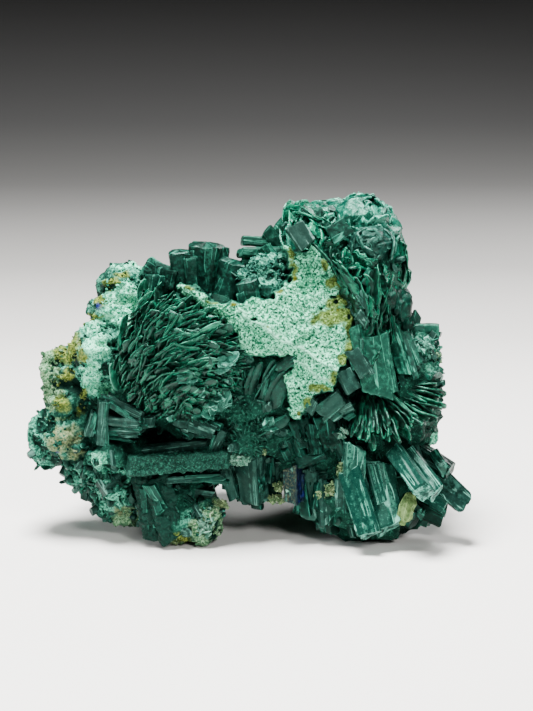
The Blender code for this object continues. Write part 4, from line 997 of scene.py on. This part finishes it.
def right_fan():
    """Feet near the heart, tips on an arc that is longest towards the right and deepest at both ends."""
    draw = np.random.default_rng(29)
    feet, tips = [], []
    for face, long, count in FAN_LAYERS:
        degrees = np.linspace(-103, -4, count) + draw.normal(0, 3.2, count)
        turn = np.radians(degrees)
        reach = long * (1 + 0.28 * np.clip((degrees + 60) / 50, 0, 1)) * draw.uniform(0.74, 1.08, count)
        away = np.abs((degrees + 68) / 60)
        depth = face + 5.0 * away ** 1.6 + draw.uniform(-0.4, 0.4, count)
        start = draw.uniform(0.5, 2.5, count)
        feet.append(seen(FAN_HEART[0] + start * np.cos(turn), FAN_HEART[1] + start * np.sin(turn), FAN_HEART[2] - 1.0))
        tips.append(seen(FAN_HEART[0] + reach * np.cos(turn), FAN_HEART[1] + reach * np.sin(turn), depth))
    feet, tips = np.concatenate(feet), np.concatenate(tips)
    count = len(feet)
    return blades("right_fan", feet, tips, draw.uniform(1.5, 3.4, count), draw.uniform(0.35, 0.95, count),
                  draw.uniform(46, 84, count), seed=31, around=8, rings=16, point=3.2, ragged=0.30, crumple=0.22)


painted(right_fan(), "fan blades", green_look(*BLADE_GREENS, gloss=0.34), shine=0.35)


# The right foot: long glassy prisms that point down and to the right, a bright block above them and dark
# pieces behind. They are the best kept crystals, with flat streaked faces and a slight shine.
GLASSY = [
    (17.0, 9.5, 17.2, 15.6, -12.5, -13.0, 3.7, 3.4, 10), (16.5, 12.0, 19.8, 1.2, -12.5, -16.5, 4.0, 3.6, 12),
    (21.2, 12.6, 23.2, 2.2, -10.5, -14.5, 4.8, 4.0, -8), (24.0, 14.4, 28.3, 8.2, -13.0, -20.2, 2.9, 3.0, 10),
    (25.8, 14.2, 30.6, 8.0, -10.5, -16.5, 3.2, 3.2, -12), (27.5, 9.0, 32.6, 5.6, -7.5, -10.0, 2.8, 3.4, 14),
    (20.4, 12.2, 21.8, 6.4, -12.4, -15.0, 2.0, 1.6, 6),
]
GREY_PRISMS = [
    (26.6, 15.4, 33.0, 11.2, -6.0, -11.0, 3.0, 3.2, 12), (27.6, 13.4, 35.6, 5.8, -6.0, -11.0, 4.1, 4.2, -6),
]
DARK_FOOT = [
    (25.5, 7.0, 32.0, 4.0, -5.0, -7.0, 4.4, 4.6, 8), (21.2, 5.0, 24.6, 1.2, -8.0, -8.8, 3.6, 3.6, 14),
    (18.4, 8.0, 20.0, 2.8, -9.0, -10.0, 3.0, 3.0, 20), (23.4, 6.4, 27.4, 3.2, -8.0, -9.6, 3.4, 3.4, 20),
]
PALE_CHIP = [(26.5, 8.0, 25.3, 3.2, -14.6, -15.6, 2.7, 1.0, 6), (25.6, 5.2, 25.0, 2.6, -14.4, -15.2, 1.6, 0.8, -10)]
glassy = prisms("glassy_prisms", *split(GLASSY), seed=33, around=48, rings=42, streaks=0.07, pits=0.02, chamfer=1.9)
painted(glassy, "glassy prisms", green_look(*GLASSY_GREENS, gloss=0.24, bump=0.15, mottle=0.15, clouds=0.22, edge_from=0.55), shine=0.13)
grey_prisms = prisms("grey_prisms", *split(GREY_PRISMS), seed=34, around=60, rings=44, pits=0.02, chamfer=1.92)
painted(grey_prisms, "grey prisms", green_look(*GREY_GREENS, gloss=0.28, bump=0.15, mottle=0.5, clouds=0.25), shine=0.13)
dark_foot = prisms("dark_foot", *split(DARK_FOOT), seed=35, around=40, rings=28, pits=0.06)
painted(dark_foot, "dark foot", green_look(*DEEP_GREENS, gloss=0.34))
beside_foot = small_prisms("beside_foot", GREY_PRISMS[:1] + DARK_FOOT[:1] + DARK_FOOT[2:], 3, 73)
painted(beside_foot, "beside foot", green_look(*DARK_GREENS, gloss=0.3), shine=0.35)
pale_chip = blades("pale_chip", *split(PALE_CHIP), seed=36, around=24, rings=24, point=2.6, ragged=0.2, crumple=0.2)
painted(pale_chip, "pale chip", green_look((0.04, 0.075, 0.020), (0.095, 0.15, 0.045), (0.15, 0.23, 0.085),
                                           (0.19, 0.28, 0.11), gloss=0.5, velvet=0.8))


# Under the plate and over the arch: hanging prisms, grey-green blocks, a small upright fan, and the last
# blue crystal of azurite, tan on the face that has started to turn.
HANGING = [
    (10.2, 12.0, 10.2, 3.4, -8.0, -9.0, 3.2, 3.4, 12), (13.4, 9.0, 13.6, 2.4, -9.0, -10.5, 4.6, 4.2, -14),
    (16.2, 9.8, 16.4, 3.2, -9.0, -10.5, 3.0, 3.4, 18), (15.2, 10.4, 15.3, 5.4, -11.8, -12.6, 1.8, 1.8, 16),
    (0.4, 14.4, 1.0, 6.4, -8.5, -9.5, 4.4, 4.2, 36), (0.4, 9.0, 0.6, 5.6, -7.0, -7.5, 3.2, 3.0, 10),
    (-4.0, 12.6, -2.2, 6.6, -8.0, -9.0, 1.9, 2.2, 12), (-2.2, 12.4, -0.9, 6.4, -7.0, -8.0, 1.8, 2.2, -16),
    (4.2, 12.0, 3.8, 7.0, -6.0, -6.5, 3.0, 3.0, 20), (3.2, 13.4, 3.4, 9.6, -8.4, -9.0, 1.8, 1.8, 30),
]
BLOCKS = [
    (12.6, 14.2, 8.0, 12.6, -9.5, -10.5, 2.4, 3.0, 8), (8.0, 19.6, 9.8, 15.0, -9.5, -10.5, 3.4, 2.6, -14),
    (12.6, 19.8, 14.0, 15.4, -10.0, -11.0, 3.6, 2.8, 14), (6.2, 17.0, 7.0, 13.4, -8.6, -9.4, 2.6, 2.2, 20),
    (10.2, 18.6, 11.0, 14.4, -10.6, -11.4, 2.0, 1.6, -20), (14.4, 17.2, 15.6, 13.8, -11.0, -11.6, 2.0, 2.0, 24),
]
SMALL_FAN = [
    (3.6, 21.2, 6.2, 28.4, -12.5, -13.6, 3.4, 0.9, 10), (4.4, 27.9, 7.7, 30.0, -14.0, -14.6, 2.0, 0.9, 0),
    (1.4, 22.0, 4.0, 29.8, -11.5, -13.6, 1.8, 0.7, 50), (0.0, 22.0, 2.0, 29.4, -11.5, -13.6, 1.6, 0.7, 30),
    (0.8, 22.4, 4.6, 29.0, -12.4, -13.8, 1.4, 0.5, 60), (2.2, 21.4, 5.4, 28.0, -12.8, -14.0, 1.6, 0.5, 45),
    (-0.6, 22.6, 0.8, 28.6, -12.0, -13.4, 1.4, 0.5, 40), (1.8, 20.8, 3.6, 27.2, -13.0, -13.8, 1.6, 0.5, 20),
    (-1.6, 22.6, -0.6, 27.8, -11.6, -13.0, 1.4, 0.5, 30), (2.4, 17.6, 6.6, 20.4, -12.0, -12.4, 2.0, 0.9, 0),
]
AZURITE = [(7.2, 12.0, 7.4, 6.6, -10.9, -11.7, 2.6, 2.4, 30), (8.4, 11.2, 8.5, 6.4, -10.0, -10.6, 1.8, 2.2, 10)]
hanging = prisms("hanging_prisms", *split(HANGING), seed=41, around=32, rings=26, pits=0.08, streaks=0.09)
painted(hanging, "hanging prisms", green_look(*GREY_GREENS, gloss=0.36), shine=0.3)
blocks = prisms("middle_blocks", *split(BLOCKS), seed=42, around=40, rings=26, pits=0.06)
painted(blocks, "middle blocks", green_look(*DEEP_GREENS, gloss=0.28), shine=0.15)
beside_hanging = small_prisms("beside_hanging", HANGING + BLOCKS, 5, 74)
painted(beside_hanging, "beside hanging", green_look(*DEEP_GREENS, gloss=0.28), shine=0.15)
small_fan = blades("small_fan", *split(SMALL_FAN), seed=43, around=14, rings=20, point=3.0)
painted(small_fan, "small fan", green_look(*DARK_GREENS, gloss=0.40), shine=0.3)


def azurite_look(wire):
    """Nearly black blue with deeper blue glints, and tan with blue and brown specks on the side that has turned."""
    fine, dust, broad = spotted(wire, 1100, 5), spotted(wire, 3000, 3), spotted(wire, 500, 3)
    side = wire.node("ShaderNodeSeparateXYZ", None, {"Vector": wire.node("ShaderNodeTexCoord", out="Object")})
    turned = (side * -1000.0 + 7.6 + fine * 2.2).step(0.6, 1.3)
    colour = (fine.step(0.45, 0.62) * broad.step(0.40, 0.60)).over((0.0012, 0.0022, 0.009), (0.005, 0.008, 0.060))
    colour = turned.over(colour, (0.030, 0.031, 0.018))
    colour = (turned * dust.step(0.42, 0.50)).over(colour, (0.003, 0.006, 0.009))
    colour = (turned * fine.step(0.60, 0.66)).over(colour, (0.030, 0.10, 0.075))
    return {"Base Color": colour, "Roughness": fine * 0.2 + 0.3, "Normal": bumped(wire, dust, 0.5, 0.0002)}


azurite = prisms("azurite_crystal", *split(AZURITE), seed=44, around=48, rings=36, chamfer=1.8, pits=0.10)
painted(azurite, "azurite", azurite_look)


# The lower left: the big level prism with its velvety skin over the left foot, small prisms around the dark
# cavity above it, and the two tall slabs of the foot with dark crystals between them.
BIG_PRISM = [(-19.4, 12.3, -3.0, 13.5, -13.0, -13.0, 3.1, 3.6, 6)]
LEFT_PRISMS = [
    (-13.5, 9.9, -3.8, 10.4, -11.5, -11.5, 1.2, 3.2, 0), (-17.0, 14.5, -6.8, 15.9, -10.0, -10.0, 1.8, 3.0, 10),
    (-6.2, 13.6, -4.0, 18.2, -11.5, -12.0, 1.5, 1.8, 10), (-11.6, 20.2, -5.6, 17.8, -10.5, -12.5, 2.6, 2.2, 6),
    (-24.0, 16.2, -23.4, 23.0, -11.0, -12.0, 1.9, 2.0, 14), (-22.8, 23.2, -17.2, 20.5, -11.5, -13.0, 1.7, 1.9, 0),
    (-23.0, 19.8, -17.4, 19.3, -11.0, -13.5, 1.6, 2.0, 10), (-19.0, 19.4, -15.3, 19.6, -10.5, -12.5, 1.8, 2.0, 16),
    (-24.2, 17.9, -17.2, 18.2, -10.0, -12.0, 1.2, 2.4, 0), (-23.6, 17.0, -17.8, 17.2, -9.6, -11.6, 0.8, 2.4, 0),
    (-26.0, 17.6, -25.0, 20.6, -10.4, -10.8, 1.6, 1.6, 20), (-13.4, 8.4, -5.6, 7.2, -8.5, -9.5, 1.8, 2.6, 6),
    (-12.6, 5.8, -6.4, 5.4, -8.5, -9.5, 3.0, 3.2, 0), (-12.0, 8.9, -8.6, 5.8, -9.6, -10.4, 1.0, 1.6, 0),
]
SLABS = [
    (-17.2, 11.0, -15.4, 0.4, -10.5, -11.5, 3.4, 3.2, 10), (-15.0, 10.6, -12.6, 0.4, -11.0, -12.5, 4.2, 3.4, -8),
]
big_prism = prisms("big_prism", *split(BIG_PRISM), seed=51, around=72, rings=120, pits=0.30, streaks=0.03)
painted(big_prism, "velvety prism", green_look((0.0005, 0.0070, 0.0046), (0.0032, 0.023, 0.016), (0.020, 0.125, 0.082),
                                               (0.05, 0.23, 0.16), gloss=0.6, fibre=False, bump=0.9, velvet=0.8))
left_prisms = prisms("left_prisms", *split(LEFT_PRISMS), seed=52, around=28, rings=24)
painted(left_prisms, "left prisms", green_look(*GREY_GREENS, gloss=0.36, mottle=0.9), shine=0.25)
slabs = prisms("foot_slabs", *split(SLABS), seed=53, around=56, rings=64, pits=0.34, streaks=0.10)
painted(slabs, "foot slabs", green_look(*DEEP_GREENS, gloss=0.5, bump=0.8, fibre=False, velvet=0.45, mottle=0.3))
beside_left = small_prisms("beside_left", LEFT_PRISMS + SLABS, 4, 75)
painted(beside_left, "beside left", green_look(*DARK_GREENS, gloss=0.4))


# The back, the sides and the underside: thick tablets that stand out of the matrix all round, as they do in
# front, with small ones between them.
BACK_TABLETS = 135


def on_matrix(count, seed, weight, long, wide, thick, lean=0.8, sunk=0.35):
    """Feet and tips of crystals that stand on the matrix's skin, leaning from its normal by up to lean."""
    draw = np.random.default_rng(seed)
    points, normals = skin_of(matrix.data)
    chosen = draw.choice(len(points), count, replace=False, p=weight / weight.sum())
    way = normals[chosen] + lean * draw.normal(0, 0.6, (count, 3))
    way /= np.linalg.norm(way, axis=1, keepdims=True)
    length, width = draw.uniform(*long, count), draw.uniform(*wide, count)
    foot = points[chosen] - way * (sunk * length)[:, None]
    return (foot, foot + way * length[:, None], width, draw.uniform(*thick, count) * width,
            draw.uniform(0, 180, count))


def far_side():
    """How likely a tablet is at each point of the matrix: none in front or low down, most in loose clusters."""
    points, normals = skin_of(matrix.data)
    clusters = np.clip(noise(points, 8.0, 36) * 3 + 0.7, 0.05, 2)
    from_outline = np.clip((points[:, 0] + 24.0) / 4, 0, 1) + np.clip((points[:, 1] - 7.0) / 3, 0, 1)
    return clusters * np.clip((points[:, 1] - 3.0) / 3, 0, 1) * np.clip(from_outline, 0, 1) * (points[:, 2] > 7) + 1e-9


foot, tip, width, thick, roll = on_matrix(BACK_TABLETS, 61, far_side(), (3.4, 9.0), (1.8, 4.4), (0.35, 0.75), lean=1.3,
                                          sunk=0.6)
back_tablets = prisms("back_tablets", foot, inside_box(tip), width, thick, roll, seed=62, around=12, rings=9, pits=0.05)
painted(back_tablets, "back tablets", green_look(*DARK_GREENS, gloss=0.42), shine=0.3)


# The druse: small tablets and blades all over the matrix between the large crystals, standing out of it at
# every angle, closest on the shown side. They grew on the same crust, and are the same green stone.
DRUSE_BLADES, DRUSE_TABLETS = 880, 215
TUFTS = [(-0.6, 18.2, 3.4, 4.0), (-4.6, 25.0, 3.6, 3.6), (-6.6, 21.6, 3.2, 1.8), (-2.0, 30.0, 2.2, 4.0)]


def bare_of_patches(front=2.0):
    """How likely a crystal is at each point of the matrix: none on its crusts and its floor, most in front."""
    points, normals = skin_of(matrix.data)
    covered = np.max([patch(points, rows) for rows in (MINT, MOSS, SAGE, TAN, TEAL[:1], TEAL[2:3])], axis=0)
    left_wall = np.clip((-15.0 - points[:, 0]) / 3, 0, 1) * (points[:, 1] < 9) * (points[:, 2] > 17)
    return (1 - 0.97 * covered) * (1 - 0.99 * left_wall) * (1 + front * (normals[:, 1] < -0.2)) * (points[:, 2] > 2.5)


bare = bare_of_patches()
druse_blades = blades("druse_blades", *on_matrix(DRUSE_BLADES, 81, bare, (0.9, 2.5), (0.7, 1.8), (0.16, 0.45), lean=1.3,
                                                  sunk=0.42),
                      seed=82, around=6, rings=5, point=2.2)
painted(druse_blades, "druse blades", green_look(*DARK_GREENS, gloss=0.36), shine=0.3)
druse_tablets = prisms("druse_tablets", *on_matrix(DRUSE_TABLETS, 83, bare, (1.4, 3.4), (1.0, 2.2), (0.45, 0.8), lean=1.5,
                                                    sunk=0.5),
                       seed=84, around=8, rings=8)
painted(druse_tablets, "druse tablets", green_look(*GREY_GREENS, gloss=0.40), shine=0.3)
CRUST_GRAINS = [
    ("teal_grains", TEAL[1:], (31, -0.15, 6.5), 830, (0.4, 1.0), (0.5, 1.1), 1.2, VELVET_GREENS),
    ("velvet_grains", TEAL[:1], (31, 2.0, 6.5), 380, (0.3, 0.8), (0.3, 0.6), 1.0,
     ((0.002, 0.026, 0.018), (0.010, 0.075, 0.053), (0.030, 0.165, 0.120), (0.07, 0.26, 0.195))),
    ("mint_grains", MINT, (32, 0.56, 6.5), 820, (0.35, 0.85), (0.3, 0.7), 1.0,
     ((0.014, 0.15, 0.088), (0.055, 0.38, 0.240), (0.15, 0.62, 0.42), (0.24, 0.72, 0.51))),
    ("moss_grains", MOSS, (33, 0.66, 5.0), 430, (0.35, 0.9), (0.3, 0.7), 0.9,
     ((0.012, 0.030, 0.005), (0.060, 0.092, 0.014), (0.14, 0.175, 0.032), (0.23, 0.27, 0.07))),
    ("sage_grains", SAGE, (34, 0.62, 6.5), 500, (0.4, 1.1), (0.3, 0.9), 1.0,
     ((0.012, 0.050, 0.022), (0.055, 0.125, 0.060), (0.16, 0.25, 0.13), (0.30, 0.40, 0.25))),
]
for name, rows, (seed, least, size), count, long, wide, lean, greens in CRUST_GRAINS:
    on_skin = skin_of(matrix.data)[0]
    weight = patch(on_skin, rows) + 0.5 * behind(on_skin, seed, least, size) + 1e-9
    if rows[0] in TEAL:
        weight = weight * (1 - patch(on_skin, MINT + MOSS)) + 1e-9
    grown = blades(name, *on_matrix(count, 87, weight, long, wide, (0.4, 0.8), lean=lean, sunk=0.5), seed=88, around=5,
                   rings=4, point=2.6, sharp=40)
    painted(grown, name.replace("_", " "), green_look(*greens, gloss=0.45))
tufted = patch(skin_of(matrix.data)[0], TUFTS) * (skin_of(matrix.data)[1][:, 1] < 0.1) + 1e-9
tufts = blades("needle_tufts", *on_matrix(520, 85, tufted, (0.9, 2.2), (0.25, 0.6), (0.3, 0.6), lean=0.6),
               seed=86, around=5, rings=5, point=1.6)
painted(tufts, "needle tufts", green_look(*VELVET_GREENS, gloss=0.4), shine=0.3)


# Pale growths on the crystals: thin mint scales on the rosette, and ferny crusts of yellow-green and whitish
# grains in the gaps of the lower half. They came last, and sit on whatever was there.
MINT_SCALES = [
    (-3.6, 29.0, -16.6, 1.5, 0.3, 1.3, 8), (-9.8, 26.6, -16.6, 1.3, 0.3, 0.7, 5), (-4.6, 23.0, -14.2, 2.4, 0.4, 1.5, 13),
    (-6.8, 21.2, -13.4, 2.1, 0.4, 0.9, 8), (-7.6, 24.6, -15.2, 1.7, 0.4, 0.6, 4), (3.4, 18.8, -12.2, 1.9, 0.5, 1.0, 7),
    (-12.4, 20.6, -12.6, 0.8, 0.4, 0.8, 3),
]
SPARKLY = [
    (28.4, 31.4, -7.6, 2.1, 1.6, 2.0, 90), (29.0, 27.2, -7.6, 3.0, 1.6, 2.2, 120), (31.2, 30.4, -4.6, 0.9, 1.2, 2.0, 30),
   
]
FERNY_CRUSTS = [
    (-4.6, 5.8, -11.2, 1.5, 0.7, 1.1, 80), (13.4, 8.2, -12.4, 1.1, 0.5, 1.4, 80), (11.6, 7.4, -11.4, 0.9, 0.5, 1.0, 50),
    (15.2, 11.4, -12.6, 0.8, 0.5, 1.8, 60), (5.0, 8.6, -9.8, 0.9, 0.6, 1.1, 60), (4.6, 6.6, -9.4, 2.0, 0.7, 0.7, 90),
    (2.7, 14.6, -9.8, 0.5, 0.5, 0.8, 30), (-12.6, -0.2, -11.6, 2.6, 0.7, 0.6, 90), (-17.4, 4.4, -11.4, 0.8, 0.5, 1.3, 50),
]
PALE_CRUSTS = [
    (-1.4, 13.2, -12.8, 1.9, 0.7, 0.9, 110), (-7.0, 3.0, -13.2, 1.8, 0.8, 2.6, 70), (15.3, 17.5, -12.6, 0.9, 0.5, 1.0, 24),
    (6.9, 8.0, -12.0, 0.6, 0.5, 0.8, 20), (26.0, 5.6, -14.4, 1.0, 0.5, 2.0, 70),
]


def crusts(name, rows, seed, long, wide, facing_front=0.3):
    """Grains in flattened balls: a random way from each ball's middle, and each grain lies along its own way."""
    draw = np.random.default_rng(seed)
    table = np.repeat(np.array(rows, float)[:, :6], [row[6] for row in rows], axis=0)
    count = len(table)
    out = draw.normal(0, 1, (count, 3))
    out /= np.linalg.norm(out, axis=1, keepdims=True)
    middle = seen(table[:, 0], table[:, 1], table[:, 2]) + out * table[:, 3:6] * draw.uniform(0.2, 1, (count, 1))
    way = draw.normal(0, 1, (count, 3))
    way /= np.linalg.norm(way, axis=1, keepdims=True)
    half = way * draw.uniform(*long, (count, 1)) / 2
    width = draw.uniform(*wide, count)
    facing = np.array([0, -1, 0.3]) + facing_front * draw.normal(0, 1, (count, 3))
    return blades(name, middle - half, middle + half, width, width * draw.uniform(0.15, 0.5, count),
                  draw.uniform(-25, 25, count), seed=seed, facing=facing, around=5, rings=4, point=2.4, ragged=0.25, sharp=40)


scales = crusts("mint_scales", MINT_SCALES, 91, (2.0, 3.8), (1.4, 2.8), facing_front=0.16)
painted(scales, "mint scales", green_look((0.003, 0.032, 0.021), (0.014, 0.10, 0.068), (0.05, 0.23, 0.165),
                                          (0.14, 0.42, 0.32), gloss=0.4), shine=0.3)
sparkly = crusts("sparkly_grains", SPARKLY, 94, (0.6, 1.5), (0.5, 1.1), facing_front=1.0)
painted(sparkly, "sparkly grains", green_look((0.003, 0.030, 0.020), (0.015, 0.085, 0.058), (0.05, 0.20, 0.14),
                                              (0.16, 0.42, 0.32), gloss=0.3, edge_from=0.7), shine=0.4)
ferny = crusts("ferny_crusts", FERNY_CRUSTS, 92, (0.35, 0.9), (0.3, 0.75), facing_front=1.0)
painted(ferny, "ferny crusts", green_look((0.030, 0.070, 0.028), (0.10, 0.16, 0.065), (0.22, 0.29, 0.14),
                                          (0.36, 0.44, 0.24), gloss=0.55))
pale_crusts = crusts("pale_crusts", PALE_CRUSTS, 93, (0.5, 1.3), (0.4, 0.9), facing_front=1.0)
painted(pale_crusts, "pale crusts", green_look((0.040, 0.12, 0.080), (0.11, 0.26, 0.19), (0.20, 0.40, 0.30),
                                               (0.32, 0.52, 0.40), gloss=0.55))
